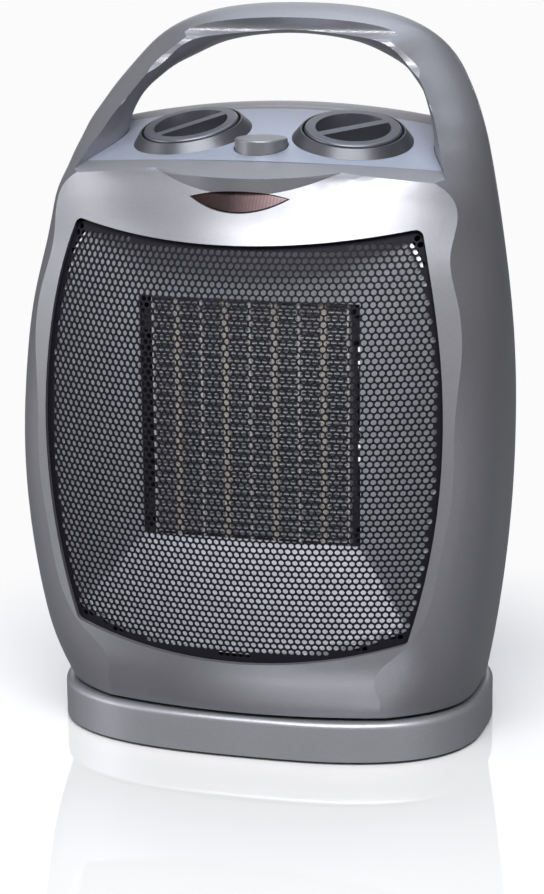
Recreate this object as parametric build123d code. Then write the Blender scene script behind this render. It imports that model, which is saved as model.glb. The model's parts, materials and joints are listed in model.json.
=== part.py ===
"""Oscillating ceramic space heater: base, swinging body, fan, heating core and controls.

Millimetres, +Z up, front faces -Y, origin on the floor under the middle of the body.
"""
from build123d import *
from math import atan2, cos, degrees, pi, radians, sin, sqrt
import os

# ---------------------------------------------------------------- driving sizes
WALL = 2.4                  # casing wall
ROOF = 4.2                  # casing roof under the top panel
SEAM_GAP = 0.2              # gap line between casing halves and round panels
FIT = 0.1                   # clearance of a piece pushed into its seat
RUN = 0.4                   # clearance between pieces that move past each other

BASE_HALF_WIDTH = 82.0
BASE_HALF_DEPTH = 55.0
BASE_POWER = 2.76           # superellipse exponent of the base outline
BASE_TOP = 16.0             # height of the base deck
BASE_ROUND = 2.2            # round of the base's upper edge
BASE_WALL = 2.6
BOTTOM_PLATE = 2.0
FOOT_RADIUS = 7.0
FLOOR_GAP = 1.2             # bottom of the base shell above the table
BODY_GAP = 1.5              # gap between base deck and swinging body
FLOOR_PLATE = 2.4

# outline of the body and handle seen from the front, from the floor up one side to the apex:
# half width, height, y where it is widest, then how it rounds off in front and behind:
# drop at a depth, that depth, power of the front curve, drop 50 mm behind, power, largest drop
BODY_BOTTOM = BASE_TOP + BODY_GAP
REAR_DEPTH = 50.0
SIDE_STATIONS = [
    (79.2, BODY_BOTTOM, 0.0, 28.0, 46.6, 3.2, 31.0, 3.5, 60.0),
    (82.3, 31.0, -2.0, 24.0, 48.7, 3.8, 26.0, 3.0, 55.0),
    (85.7, 50.0, -4.0, 19.1, 47.3, 4.2, 21.0, 2.6, 45.0),
    (89.2, 80.0, -5.0, 14.9, 44.5, 4.8, 16.0, 2.3, 38.0),
    (90.8, 115.0, -5.0, 12.3, 42.1, 4.7, 14.0, 2.1, 35.0),
    (90.1, 145.0, -4.0, 10.7, 40.0, 3.6, 13.5, 2.0, 33.0),
    (87.2, 172.0, -2.0, 9.0, 37.5, 2.6, 14.0, 2.0, 30.0),
    (83.2, 195.0, 2.0, 8.0, 33.3, 2.5, 15.0, 2.0, 26.0),
    (79.3, 213.0, 8.0, 10.0, 35.8, 2.0, 20.0, 2.0, 22.0),
    (77.1, 221.0, 12.0, 10.2, 29.5, 2.0, 25.0, 2.0, 18.0),
    (74.2, 229.0, 17.0, 9.7, 24.1, 2.0, 35.0, 2.0, 15.0),
    (69.1, 238.5, 26.0, 8.3, 21.6, 2.0, 42.0, 2.0, 14.0),
    (61.9, 248.8, 33.0, 8.0, 19.0, 2.0, 50.0, 2.0, 13.0),
    (52.6, 257.0, 36.0, 6.8, 17.5, 2.0, 50.0, 2.0, 12.0),
    (42.6, 262.6, 38.0, 4.8, 17.0, 2.0, 45.0, 2.0, 11.0),
    (24.0, 267.2, 38.0, 4.0, 16.0, 2.0, 40.0, 2.0, 10.0),
    (0.0, 268.6, 38.0, 3.8, 16.0, 2.0, 40.0, 2.0, 10.0),
]
SECTION_PLANES = [-72, -60, -52, -46, -39, -32, -22, -10, 3, 16, 29, 42, 54, 72]

# front and rear faces: height, y on the middle plane, bow towards the sides per x squared
FRONT_FACE = [
    (5.0, -48.0, 0.0026), (BODY_BOTTOM, -53.4, 0.0026), (28.0, -58.8, 0.0027),
    (40.0, -62.3, 0.0027), (67.0, -65.2, 0.0029), (98.0, -67.3, 0.0032),
    (128.0, -68.0, 0.0035), (156.0, -66.3, 0.0038), (172.0, -64.0, 0.0040),
    (185.0, -60.5, 0.0042), (197.0, -54.6, 0.0043), (205.0, -48.6, 0.0038),
    (212.0, -42.6, 0.0030), (217.0, -31.5, 0.0016), (222.0, -18.5, 0.0003),
    (229.0, -7.6, 0.0), (238.0, 3.8, 0.0), (246.0, 12.2, 0.0), (254.0, 18.8, 0.0),
    (262.0, 22.2, 0.0), (280.0, 25.0, 0.0),
]
REAR_FACE = [
    (5.0, 50.0, 0.0026), (BODY_BOTTOM, 53.2, 0.0026), (40.0, 61.0, 0.0030),
    (80.0, 66.8, 0.0036), (115.0, 68.0, 0.0040), (150.0, 66.6, 0.0040),
    (180.0, 62.6, 0.0034), (205.0, 56.5, 0.0024), (225.0, 51.0, 0.0012),
    (240.0, 49.0, 0.0004), (262.0, 47.6, 0.0), (280.0, 46.0, 0.0),
]
# roof of the body under the handle: y, height on the middle plane
ROOF_LINE = [
    (-80.0, 206.5), (-60.0, 211.0), (-46.0, 214.8), (-31.6, 218.5), (-10.0, 223.6),
    (10.0, 228.4), (22.0, 231.5), (28.0, 232.9), (35.0, 231.8), (45.0, 226.2), (58.0, 216.0),
    (75.0, 204.0),
]
ROOF_CROWN = 0.00155        # fall of the roof to the sides per x squared

# opening under the handle: half width, height, y of its narrowest edge, flare away from it
HANDLE_OPENING = [
    (61.5, 205.0, 0.0, 0.40), (60.6, 215.0, 3.0, 0.40), (59.4, 222.0, 5.0, 0.42),
    (57.9, 229.0, 7.5, 0.48), (55.2, 235.5, 12.0, 0.52), (50.0, 242.2, 20.0, 0.54),
    (41.2, 248.6, 28.0, 0.56), (29.4, 253.8, 30.0, 0.66), (15.0, 257.0, 30.0, 0.86),
    (0.0, 258.0, 30.0, 0.95),
]
HANDLE_EDGE_ROUND = 5.0
OPENING_PLANES = [-50, -36, -22, -10, 0, 9, 18, 27, 36, 46, 60]
# seam between the front and rear shells seen from the side: y, height
SEAM_LINE = [(17.0, -5.0), (17.0, 185.0), (19.0, 210.0), (22.0, 230.0), (28.0, 241.0),
             (36.0, 253.0), (38.0, 285.0)]

# grille opening in the front face
GRILLE_TOP_CORNER = (64.1, 197.2)
GRILLE_BOTTOM_CORNER = (62.6, 48.7)
GRILLE_SIDE = (74.5, 126.0)
GRILLE_TOP_MIDDLE = 192.2
GRILLE_BOTTOM_MIDDLE = 39.4
GRILLE_CORNER_ROUND = 3.0
GRILLE_FLANGE = 1.5
GRILLE_SHEET = 0.8
GRILLE_PITCH = 12.8         # plain grid of openings
GRILLE_BAR = 2.4
GRILLE_COLUMNS = 11
GRILLE_ROWS = 12

# top panel, knobs and button
PANEL_THICKNESS = 2.2
PANEL_FRONT = -31.6
PANEL_FRONT_BOW = 0.00315
PANEL_REAR = 20.3
PANEL_LEDGE = 3.0
KNOB_X = 30.6
KNOB_Y = -2.5
BEZEL_RADIUS = 21.8
BEZEL_TOP_RADIUS = 19.2
BEZEL_HEIGHT = 3.2
KNOB_RADIUS = 17.8
KNOB_RISE = 4.0             # knob face above the panel
KNOB_CUP_RADIUS = 13.8
KNOB_CUP_DRAFT = 1.2
KNOB_CUP_DEPTH = 7.0
KNOB_RIB = 3.6
KNOB_THICKNESS = 11.0
KNOB_GROOVE = 0.9           # open ring between a knob and its bezel
BUTTON_Y = -17.0
BUTTON_RADIUS = 9.6
BUTTON_TOP = 225.0
BUTTON_LENGTH = 13.0
SHAFT_RADIUS = 3.0

# visor over the indicator lens
VISOR_HALF_WIDTH = 43.0
VISOR_TIP_Y = -26.5
VISOR_LIP_Y = -47.5
VISOR_DEPTH = 11.0
VISOR_UNDERCUT = 0.25       # how far the visor's face leans back per mm down
LENS_HALF_WIDTH = 17.6

# heating core
CORE_HALF_WIDTH = 36.8
CORE_BOTTOM = 79.0
CORE_TOP = 169.0
CORE_FRONT = -35.0
CORE_DEPTH = 15.0
PLATE_COUNT = 4
PLATE_THICKNESS = 2.2
STRIP_THICKNESS = 0.8
FIN_PITCH = 2.6
FIN_SHEET = 0.3
FRAME_WALL = 3.0
FRAME_SIDE_GAP = 4.7
REFLECTOR_SHEET = 1.0

# fan
FAN_HEIGHT = 124.0
FAN_RADIUS = 56.0
FAN_TIP_GAP = 2.0
FAN_HUB_RADIUS = 17.0
FAN_BLADES = 7
FAN_DEPTH = 20.0
FAN_FRONT = -12.0
SHROUD_WALL = 2.0
SHROUD_DEPTH = 30.0
MOTOR_RADIUS = 22.0
MOTOR_LENGTH = 26.0
MOTOR_SHAFT_RADIUS = 2.0
BEARING_RADIUS = 5.0
BEARING_LENGTH = 4.0

# swing drive
SPINDLE_RADIUS = 11.0
SPINDLE_BORE = 7.0
SPINDLE_FLANGE = 15.0
SPINDLE_TOP = 26.0
BUSH_WALL = 2.5
GLIDE_INNER = 17.5
GLIDE_OUTER = 23.0
SWING_LIMIT = 35.0
CRANK_OFFSET = 36.0
CRANK_LIMIT = 105.0
PIN_RADIUS = 2.4
ARM_THICKNESS = 2.6
SWING_MOTOR_RADIUS = 24.5
SWING_MOTOR_HEIGHT = 19.0
SWING_MOTOR_SHIFT = 10.0     # the gearbox output sits this far off the motor's middle

# screws
SCREW_RADIUS = 1.5
SCREW_HEAD = 3.0
SCREW_HEAD_HEIGHT = 2.0
BOSS_RADIUS = 3.6

# placed details
LENS_TIP = 207.4
LENS_RISE = 1.8
LENS_DROP = 4.5
LENS_GAP = 0.5
LENS_FLANGE = 1.4
LENS_FLANGE_SHEET = 1.2
SWITCH_DEPTH = 14.0         # from the panel surface down to the switch plate
SWITCH_EAR = 22.5
SWITCH_EAR_END = 3.6
SWITCH_EAR_HALF = 4.0
BUTTON_EAR = 14.5
OSC_SWITCH_TOP = 208.5
GLAND_RADIUS = 6.0
GLAND_HEIGHT = 34.0
LOUVRE_RADIUS = 46.0
LOUVRE_PITCH = 6.6
LOUVRE_SLOT = 3.4
LOUVRE_RIB = 3.0
LOUVRE_RIBS = 12.0
REFLECTOR_TOP = (62.0, -38.8, 195.5)
REFLECTOR_BOTTOM = (68.4, -54.3, 46.2)
REFLECTOR_SIDE = (74.2, -46.5, 125.0)
FLOOR_TOP = BODY_BOTTOM + FLOOR_PLATE
SHAFT_FIT = 0.05            # running fit of a shaft in its bore, on the radius
SWITCH_BODY = 18.0
SWITCH_PLATE = 1.6
SWITCH_WIDTH = 27.0
LAMP_RADIUS = 2.6
LAMP_SETBACK = 8.7
FIN_SIDE = 0.35
TAB_RISE = 6.0
FRAME_PLATE_HALF = 58.0
BLADE_THICKNESS = 1.6
MOTOR_GAP = 6.0
SPINDLE_FOOT = 2.0
BUSH_FLANGE = 17.0
CLIP_THICKNESS = 1.0
GROOVE_RADIUS = 10.0
MOTOR_SEAT = 24.0           # underside of the swing motor's ears
MOTOR_EAR = 30.0
SWING_SHAFT_RADIUS = 2.5
PIN_SLACK = 1.55            # half the slot's extra width over the pin
TIP_X = -40.0
FLOOR_BOSS_HEIGHT = 14.0
ROTOR_RADIUS = 9.6
SPIDER_DEPTH = 8.0
EAR_THICKNESS = 3.0         # screwed-on ears of the shroud and of the motor bracket
SHROUD_SCREWS = [(46.5, 172.0), (-46.5, 172.0), (46.5, 76.0), (-46.5, 76.0)]
SPIDER_SCREWS = [(62.0, FAN_HEIGHT), (-31.0, FAN_HEIGHT + 53.7), (-31.0, FAN_HEIGHT - 53.7)]

os.makedirs("parts", exist_ok=True)


# ---------------------------------------------------------------- helpers
def save(name, *solids):
    """Write one sub-part, one or more separate solids, to its own file."""
    shape = solids[0] if len(solids) == 1 else Compound(children=list(solids))
    export_step(shape, f"parts/{name}.step")


def one_solid(shape):
    """The largest solid of a boolean result."""
    return max(shape.solids(), key=lambda s: s.volume)


def rod(radius, length, at, axis=(0, 0, 1)):
    """Cylinder starting at a point and running along an axis."""
    return Solid.make_cylinder(radius, length, Plane(origin=at, z_dir=axis))


def cone(radius, end_radius, length, at, axis=(0, 0, 1)):
    return Solid.make_cone(radius, end_radius, length, Plane(origin=at, z_dir=axis))


def tube(radius, bore, length, at, axis=(0, 0, 1)):
    return rod(radius, length, at, axis) - rod(bore, length, at, axis)


def block(x_range, y_range, z_range):
    """Box between two limits along each axis."""
    size = [hi - lo for lo, hi in (x_range, y_range, z_range)]
    corner = (x_range[0], y_range[0], z_range[0])
    return Solid.make_box(*size, Plane(origin=corner))


def mirrored(shape):
    return shape.mirror(Plane.YZ)


def blend(table, at, column):
    """Smooth value of one column of a table whose first column rises."""
    keys = [row[0] for row in table]
    values = [row[column] for row in table]
    count = len(keys)
    slopes = []
    for i in range(count):
        lo, hi = max(i - 1, 0), min(i + 1, count - 1)
        slopes.append((values[hi] - values[lo]) / (keys[hi] - keys[lo]))
    i = max(0, min(count - 2, sum(1 for k in keys[1:-1] if k <= at)))
    span = keys[i + 1] - keys[i]
    t = (at - keys[i]) / span
    if t < 0 or t > 1:
        end = 0 if t < 0 else count - 1
        return values[end] + slopes[end] * (at - keys[end])
    return ((1 + 2 * t) * (1 - t) ** 2 * values[i] + t * (1 - t) ** 2 * span * slopes[i]
            + t * t * (3 - 2 * t) * values[i + 1] + t * t * (t - 1) * span * slopes[i + 1])


# ---------------------------------------------------------------- casing surfaces
def front_y(x, z):
    return blend(FRONT_FACE, z, 1) + blend(FRONT_FACE, z, 2) * x * x


def rear_y(x, z):
    return blend(REAR_FACE, z, 1) - blend(REAR_FACE, z, 2) * x * x


def roof_z(x, y):
    return blend(ROOF_LINE, y, 1) - ROOF_CROWN * x * x


def grid_face(x_values, other_values, point):
    """Smooth surface through point(x, other) over a grid."""
    rows = [[Vector(*point(x, v)) for v in other_values] for x in x_values]
    return Face.make_surface_from_array_of_points(rows, tol=0.02, min_deg=3, max_deg=5)


def steps(start, end, count):
    return [start + (end - start) * i / (count - 1) for i in range(count)]


def behind_front(shift):
    """Everything behind the front face moved back by shift."""
    face = grid_face(steps(-100, 100, 9), steps(4, 278, 42),
                     lambda x, z: (x, front_y(x, z) + shift, z))
    return Solid.extrude(face, Vector(0, 230, 0))


def before_rear(shift):
    """Everything in front of the rear face moved forward by shift."""
    face = grid_face(steps(-100, 100, 9), steps(4, 278, 24),
                     lambda x, z: (x, rear_y(x, z) - shift, z))
    return Solid.extrude(face, Vector(0, -230, 0))


def above_roof(drop, height=90.0):
    """Slab whose underside is the roof surface lowered by drop."""
    face = grid_face(steps(-92, 92, 9), steps(-78, 74, 26),
                     lambda x, y: (x, y, roof_z(x, y) - drop))
    return Solid.extrude(face, Vector(0, 0, height))


def outline_normals(points):
    """Outward unit normals of an open outline that runs up and over to the middle plane."""
    normals = []
    for i, (x, z) in enumerate(points):
        x0, z0 = points[i - 1] if i > 0 else points[0]
        x1, z1 = points[i + 1] if i + 1 < len(points) else (-points[i - 1][0], points[i - 1][1])
        length = sqrt((x1 - x0) ** 2 + (z1 - z0) ** 2)
        normals.append(((z1 - z0) / length, (x0 - x1) / length))
    return normals


def arch_spacing(right_points):
    """Spline parameters of an arch, shared by all its sections."""
    points = right_points + [(-x, z) for x, z in reversed(right_points[:-1])]
    spacing = [0.0]
    for (x0, z0), (x1, z1) in zip(points, points[1:]):
        spacing.append(spacing[-1] + sqrt((x1 - x0) ** 2 + (z1 - z0) ** 2))
    return [value / spacing[-1] for value in spacing]


def arch_wire(right_points, y, bottom, spacing):
    """Closed outline at one y: right side, mirrored left side and a straight bottom."""
    left_points = [(-x, z) for x, z in reversed(right_points[:-1])]
    outline = [Vector(x, y, z) for x, z in right_points + left_points]
    outline[0] = Vector(right_points[0][0], y, bottom)
    outline[-1] = Vector(-right_points[0][0], y, bottom)
    arch = Edge.make_spline(outline, parameters=spacing)
    base = Edge.make_line(outline[-1], outline[0])
    return Wire([arch, base])


def side_outline(y, inset):
    """Side and handle outline at one y, moved inwards by inset."""
    middle = [(row[0], row[1]) for row in SIDE_STATIONS]
    points = []
    for (x, z), (nx, nz), row in zip(middle, outline_normals(middle), SIDE_STATIONS):
        forward = row[2] - y
        if forward > 0:
            rounding = row[3] * (forward / row[4]) ** row[5]
        else:
            rounding = row[6] * (-forward / REAR_DEPTH) ** row[7]
        rounding /= (1 + (rounding / row[8]) ** 4) ** 0.25
        shift = rounding + inset
        points.append((x - nx * shift, z - nz * shift))
    points[-1] = (0.0, points[-1][1])
    return points


def envelope(inset, bottom=BODY_BOTTOM):
    """Solid inside the casing's outer skin moved inwards by inset."""
    spacing = arch_spacing([(row[0], row[1]) for row in SIDE_STATIONS])
    wires = [arch_wire(side_outline(y, inset), y, bottom, spacing) for y in SECTION_PLANES]
    sides = Solid.make_loft(wires)
    return one_solid(sides & behind_front(inset) & before_rear(inset))


def opening_outline(y, outset):
    """Outline of the space under the handle at one y, moved outwards by outset."""
    middle = [(row[0], row[1]) for row in HANDLE_OPENING]
    points = []
    for (x, z), (nx, nz), row in zip(middle, outline_normals(middle), HANDLE_OPENING):
        away = sqrt((y - row[2]) ** 2 + HANDLE_EDGE_ROUND ** 2) - HANDLE_EDGE_ROUND
        shift = row[3] * away + outset
        points.append((x + nx * shift, z + nz * shift))
    points[-1] = (0.0, points[-1][1])
    return points


def handle_opening(outset, bottom=200.0):
    """Space under the handle, narrowest part way back and flared to both sides."""
    spacing = arch_spacing([(row[0], row[1]) for row in HANDLE_OPENING])
    wires = [arch_wire(opening_outline(y, outset), y, bottom, spacing) for y in OPENING_PLANES]
    return one_solid(Solid.make_loft(wires))


# ---------------------------------------------------------------- placing helpers
def roof_point(x, y, rise=0.0):
    """Point above the roof at x, y, with the roof's normal."""
    slope_x = -2 * ROOF_CROWN * x
    slope_y = (roof_z(x, y + 1) - roof_z(x, y - 1)) / 2
    normal = Vector(-slope_x, -slope_y, 1).normalized()
    return Vector(x, y, roof_z(x, y)) + normal * rise, normal


def plan_region(front_inset, bottom=185.0, top=262.0):
    """Column over the top panel's outline between its bowed front edge and straight rear edge."""
    half = 80.0
    front = PANEL_FRONT + front_inset
    rear = PANEL_REAR - front_inset
    side_y = front + PANEL_FRONT_BOW * half * half
    with BuildSketch(Plane.XY.offset(bottom)) as sketch:
        with BuildLine():
            ThreePointArc((-half, side_y), (0, front), (half, side_y))
            Polyline((half, side_y), (half, rear), (-half, rear), (-half, side_y))
        make_face()
    return one_solid(extrude(sketch.sketch, top - bottom))


def superellipse_solid(inset, bottom, top):
    """Upright solid with the base's outline moved inwards by inset."""
    a, b = BASE_HALF_WIDTH - inset, BASE_HALF_DEPTH - inset
    power = 2 / BASE_POWER
    points = []
    for i in range(32):
        c, s = cos(2 * pi * i / 32), sin(2 * pi * i / 32)
        x = a * (1 if c > 0 else -1) * abs(c) ** power
        y = b * (1 if s > 0 else -1) * abs(s) ** power
        points.append(Vector(x, y, bottom))
    face = Face(Wire([Edge.make_spline(points, periodic=True)]))
    return Solid.extrude(face, Vector(0, 0, top - bottom))


def grille_outline(outset, y_front=-90.0, depth=75.0):
    """Column along Y through the grille opening, its four bowed edges moved outwards by outset."""
    tx, tz = GRILLE_TOP_CORNER[0] + outset, GRILLE_TOP_CORNER[1] + outset
    bx, bz = GRILLE_BOTTOM_CORNER[0] + outset, GRILLE_BOTTOM_CORNER[1] - outset
    sx, sz = GRILLE_SIDE[0] + outset, GRILLE_SIDE[1]
    with BuildSketch(Plane(origin=(0, y_front, 0), x_dir=(1, 0, 0), z_dir=(0, -1, 0))) as sketch:
        with BuildLine():
            ThreePointArc((-tx, tz), (0, GRILLE_TOP_MIDDLE + outset), (tx, tz))
            ThreePointArc((tx, tz), (sx, sz), (bx, bz))
            ThreePointArc((bx, bz), (0, GRILLE_BOTTOM_MIDDLE - outset), (-bx, bz))
            ThreePointArc((-bx, bz), (-sx, sz), (-tx, tz))
        make_face()
        fillet(sketch.vertices(), GRILLE_CORNER_ROUND + outset)
    return one_solid(Solid.extrude(sketch.sketch.faces()[0], Vector(0, depth, 0)))


def grille_openings():
    """Plain grid of square columns along Y, kept inside the grille's outline."""
    half = (GRILLE_PITCH - GRILLE_BAR) / 2
    middle = (GRILLE_TOP_MIDDLE + GRILLE_BOTTOM_MIDDLE) / 2
    columns = []
    for i in range(GRILLE_COLUMNS):
        x = (i - (GRILLE_COLUMNS - 1) / 2) * GRILLE_PITCH
        for j in range(GRILLE_ROWS):
            z = middle + (j - (GRILLE_ROWS - 1) / 2) * GRILLE_PITCH
            columns.append(block((x - half, x + half), (-85, -25), (z - half, z + half)))
    return Compound(children=columns) & grille_outline(-GRILLE_BAR)


def visor_cone():
    """Round body whose front makes the visor's lip and the face that leans back below it."""
    sag = VISOR_TIP_Y - VISOR_LIP_Y
    radius = (VISOR_HALF_WIDTH ** 2 + sag ** 2) / (2 * sag)
    reach = VISOR_DEPTH + 4.0
    lean = VISOR_UNDERCUT * reach
    foot = (0, VISOR_LIP_Y + radius, roof_z(0, VISOR_LIP_Y) - reach)
    return cone(radius - lean, radius + lean, 2 * reach, foot)


def leaf_column(outset, y_front=-60.0, depth=30.0):
    """Column along Y with the indicator lens's leaf outline."""
    half, z = LENS_HALF_WIDTH + 2 * outset, LENS_TIP
    upper, lower = z + LENS_RISE + outset, z - LENS_DROP - outset
    with BuildSketch(Plane(origin=(0, y_front, 0), x_dir=(1, 0, 0), z_dir=(0, -1, 0))) as sketch:
        with BuildLine():
            ThreePointArc((-half, z), (0, upper), (half, z))
            ThreePointArc((half, z), (0, lower), (-half, z))
        make_face()
    return one_solid(Solid.extrude(sketch.sketch.faces()[0], Vector(0, depth, 0)))


def seam_side(front, gap):
    """Everything in front of (or behind) the seam between the casing halves."""
    sign = -1 if front else 1
    edge = [(y + sign * gap / 2, z) for y, z in SEAM_LINE]
    far = sign * 120.0
    outline = edge + [(far, edge[-1][1]), (far, edge[0][1])]
    face = Face(Wire.make_polygon([Vector(-120, y, z) for y, z in outline]))
    return Solid.extrude(face, Vector(240, 0, 0))


# ---------------------------------------------------------------- casing
KNOB_CENTRES = [(-KNOB_X, KNOB_Y), (KNOB_X, KNOB_Y)]
CASING_BOSSES = [(76.0, 60.0), (77.0, 172.0), (66.0, 209.0)]
FRAME_BOSSES = [(79.6, 110.0), (79.6, 140.0)]
FLOOR_BOSSES = [(66.0, -26.0), (64.0, 28.0)]
FEET = [(58.0, 32.0), (58.0, -32.0)]
BASE_SCREWS = [(62.0, 18.0), (62.0, -18.0)]
FRAME_FRONT = CORE_FRONT - 0.5
FRAME_REAR = CORE_FRONT + CORE_DEPTH
FRAME_PLATE = 2.0
FRAME_HALF_WIDTH = CORE_HALF_WIDTH + FRAME_SIDE_GAP
SCREW_ENGAGE = 8.0


def both_sides(places):
    return [(side * x, z) for x, z in places for side in (-1, 1)]


def with_post_pair(shell, left_post):
    """Add a post on the left and its mirror image on the right."""
    post = one_solid(left_post)
    return one_solid(shell + post + mirrored(post))


def with_floor_bosses(shell, inner, place):
    """Add the two bosses that the body floor is screwed to, each webbed to the wall."""
    x, y = place
    z_range = (FLOOR_TOP, FLOOR_TOP + FLOOR_BOSS_HEIGHT)
    post = rod(BOSS_RADIUS, FLOOR_BOSS_HEIGHT, (-x, y, FLOOR_TOP))
    web = block((-x - 25, -x), (y - 1.5, y + 1.5), z_range) & inner
    shell = with_post_pair(shell, post + one_solid(web))
    for sign in (-1, 1):
        shell = shell - rod(SCREW_RADIUS, SCREW_ENGAGE + 1, (sign * x, y, FLOOR_TOP))
    return one_solid(shell)


def build_casing():
    """Front and rear shells, top panel, lens and grille, which share the casing's surfaces."""
    outer = envelope(0)
    inner = envelope(WALL, BODY_BOTTOM - 3)
    opening = handle_opening(0)
    outer = one_solid(outer - one_solid(opening & above_roof(0)))
    inner = one_solid(inner - one_solid(handle_opening(WALL) & above_roof(ROOF)))
    shell = one_solid(outer - inner)

    panel_bed = above_roof(PANEL_THICKNESS) & opening & plan_region(0)
    panel_hole = (above_roof(ROOF + 2) & handle_opening(-PANEL_LEDGE)
                  & plan_region(PANEL_LEDGE))
    shell = one_solid(shell - panel_bed - panel_hole)

    front = one_solid(shell & seam_side(True, SEAM_GAP))
    rear = one_solid(shell & seam_side(False, 0))

    # front shell: visor, grille opening, lens window, screw bosses
    with BuildSketch(Plane.XY.offset(185)) as crescent:
        with BuildLine():
            ThreePointArc((-VISOR_HALF_WIDTH, VISOR_TIP_Y), (0, VISOR_LIP_Y),
                          (VISOR_HALF_WIDTH, VISOR_TIP_Y))
            ThreePointArc((VISOR_HALF_WIDTH, VISOR_TIP_Y), (0, PANEL_FRONT - 1.0),
                          (-VISOR_HALF_WIDTH, VISOR_TIP_Y))
        make_face()
    visor_column = one_solid(extrude(crescent.sketch, 60))
    visor = one_solid(above_roof(VISOR_DEPTH, VISOR_DEPTH) & visor_column & visor_cone())
    front = front + one_solid(visor - inner)
    front = front - grille_outline(0) - leaf_column(LENS_GAP)
    for x, z in CASING_BOSSES:
        y = seam_at(z) - SEAM_GAP / 2
        front = with_post_pair(front, rod(BOSS_RADIUS, 70, (-x, y - 70, z), (0, 1, 0)) & inner)
    for x, z in both_sides(CASING_BOSSES):
        hole_foot = (x, seam_at(z) - SCREW_ENGAGE - 1, z)
        front = front - rod(SCREW_RADIUS, SCREW_ENGAGE + 1, hole_foot, (0, 1, 0))
    for x, z in FRAME_BOSSES:
        foot = (-x, FRAME_REAR - FRAME_PLATE - 40, z)
        front = with_post_pair(front, rod(BOSS_RADIUS - 0.4, 40, foot, (0, 1, 0)) & inner)
    for x, z in both_sides(FRAME_BOSSES):
        front = front - rod(SCREW_RADIUS, SCREW_ENGAGE, (x, FRAME_REAR - SCREW_ENGAGE, z), (0, 1, 0))

    front = with_floor_bosses(front, inner, FLOOR_BOSSES[0])

    # rear shell: screw tunnels, intake louvres, cord inlet
    behind_seam = inner & seam_side(False, 0)
    for x, z in CASING_BOSSES:
        sleeve = rod(BOSS_RADIUS + 1.9, 70, (-x, seam_at(z), z), (0, 1, 0)) & behind_seam
        rear = with_post_pair(rear, sleeve)
    for x, z in both_sides(CASING_BOSSES):
        y = seam_at(z)
        rear = rear - rod(SCREW_HEAD + 0.4, 70, (x, y + 7, z), (0, 1, 0))
        rear = rear - rod(SCREW_RADIUS + 0.2, 12, (x, y - 1, z), (0, 1, 0))
    rear = one_solid(rear) - Compound(children=louvre_cuts())
    rear = one_solid(rear) - rod(GLAND_RADIUS, 60, (0, 30, GLAND_HEIGHT), (0, 1, 0))
    rear = with_floor_bosses(rear, inner, FLOOR_BOSSES[1])

    # top panel with holes for the knobs, the button and the switch posts
    panel = (above_roof(PANEL_THICKNESS, PANEL_THICKNESS) & handle_opening(-SEAM_GAP)
             & plan_region(SEAM_GAP))
    panel = one_solid(panel)
    for x, y in KNOB_CENTRES:
        point, normal = roof_point(x, y, -20)
        panel = panel - rod(KNOB_RADIUS + RUN, 40, point, normal)
        side = Vector(1, 0, 0)
        across = (side - normal * side.dot(normal)).normalized()
        top, _ = roof_point(x, y, 0)
        for sign in (-1, 1):
            foot = top + across * (sign * SWITCH_EAR) - normal * SWITCH_DEPTH
            post = rod(3.2, SWITCH_DEPTH, foot, normal) - above_roof(0.6)
            panel = panel + one_solid(post)
            panel = panel - rod(SCREW_RADIUS, SCREW_ENGAGE, foot, normal)
    panel = panel - rod(BUTTON_RADIUS + RUN, 40, (0, BUTTON_Y, 195))
    for sign in (-1, 1):
        foot = Vector(sign * BUTTON_EAR, BUTTON_Y, OSC_SWITCH_TOP)
        post = rod(2.6, 20, foot) - above_roof(0.6)
        panel = panel + one_solid(post)
        panel = panel - rod(SCREW_RADIUS - 0.3, SCREW_ENGAGE - 2, foot)

    seat = WALL + FIT
    lens = leaf_column(0) & (behind_front(0.6) - behind_front(seat + LENS_FLANGE_SHEET))
    flange = leaf_column(LENS_FLANGE) & (behind_front(seat) - behind_front(seat + LENS_FLANGE_SHEET))
    lens = one_solid(lens) + one_solid(flange)
    lining = envelope(seat)
    sheet = one_solid(lining & grille_outline(GRILLE_FLANGE))
    sheet = one_solid(sheet - envelope(seat + GRILLE_SHEET, BODY_BOTTOM - 3))
    grille = one_solid(sheet - grille_openings())
    panels = reflector_panels() & behind_front(seat + GRILLE_SHEET + 0.3)
    floor = lining & block((-100, 100), (-80, 80), (BODY_BOTTOM, FLOOR_TOP))
    save("front_shell", one_solid(front))
    save("rear_shell", one_solid(rear))
    save("top_panel", one_solid(panel))
    save("indicator_lens", one_solid(lens))
    save("front_grille", grille)
    save("reflector", one_solid(panels))
    return one_solid(floor)


def seam_at(z):
    """y of the seam at a height."""
    for (y0, z0), (y1, z1) in zip(SEAM_LINE, SEAM_LINE[1:]):
        if z0 <= z <= z1:
            return y0 + (y1 - y0) * (z - z0) / (z1 - z0)
    return SEAM_LINE[0][0]


def louvre_cuts():
    """Slots through the rear wall within a circle behind the fan, split by upright ribs."""
    cuts = []
    rows = int(LOUVRE_RADIUS / LOUVRE_PITCH)
    for row in range(-rows, rows + 1):
        z = FAN_HEIGHT + row * LOUVRE_PITCH
        half = sqrt(LOUVRE_RADIUS ** 2 - (row * LOUVRE_PITCH) ** 2)
        edges = [-half] + [x for x in (-2 * LOUVRE_RIBS, 0, 2 * LOUVRE_RIBS) if abs(x) < half - 6]
        edges.append(half)
        for i, (x0, x1) in enumerate(zip(edges, edges[1:])):
            left = x0 + (LOUVRE_RIB / 2 if i > 0 else 0)
            right = x1 - (LOUVRE_RIB / 2 if i + 2 < len(edges) else 0)
            if right - left > 4:
                z_range = (z - LOUVRE_SLOT / 2, z + LOUVRE_SLOT / 2)
                cuts.append(block((left, right), (45, 80), z_range))
    return cuts


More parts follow.
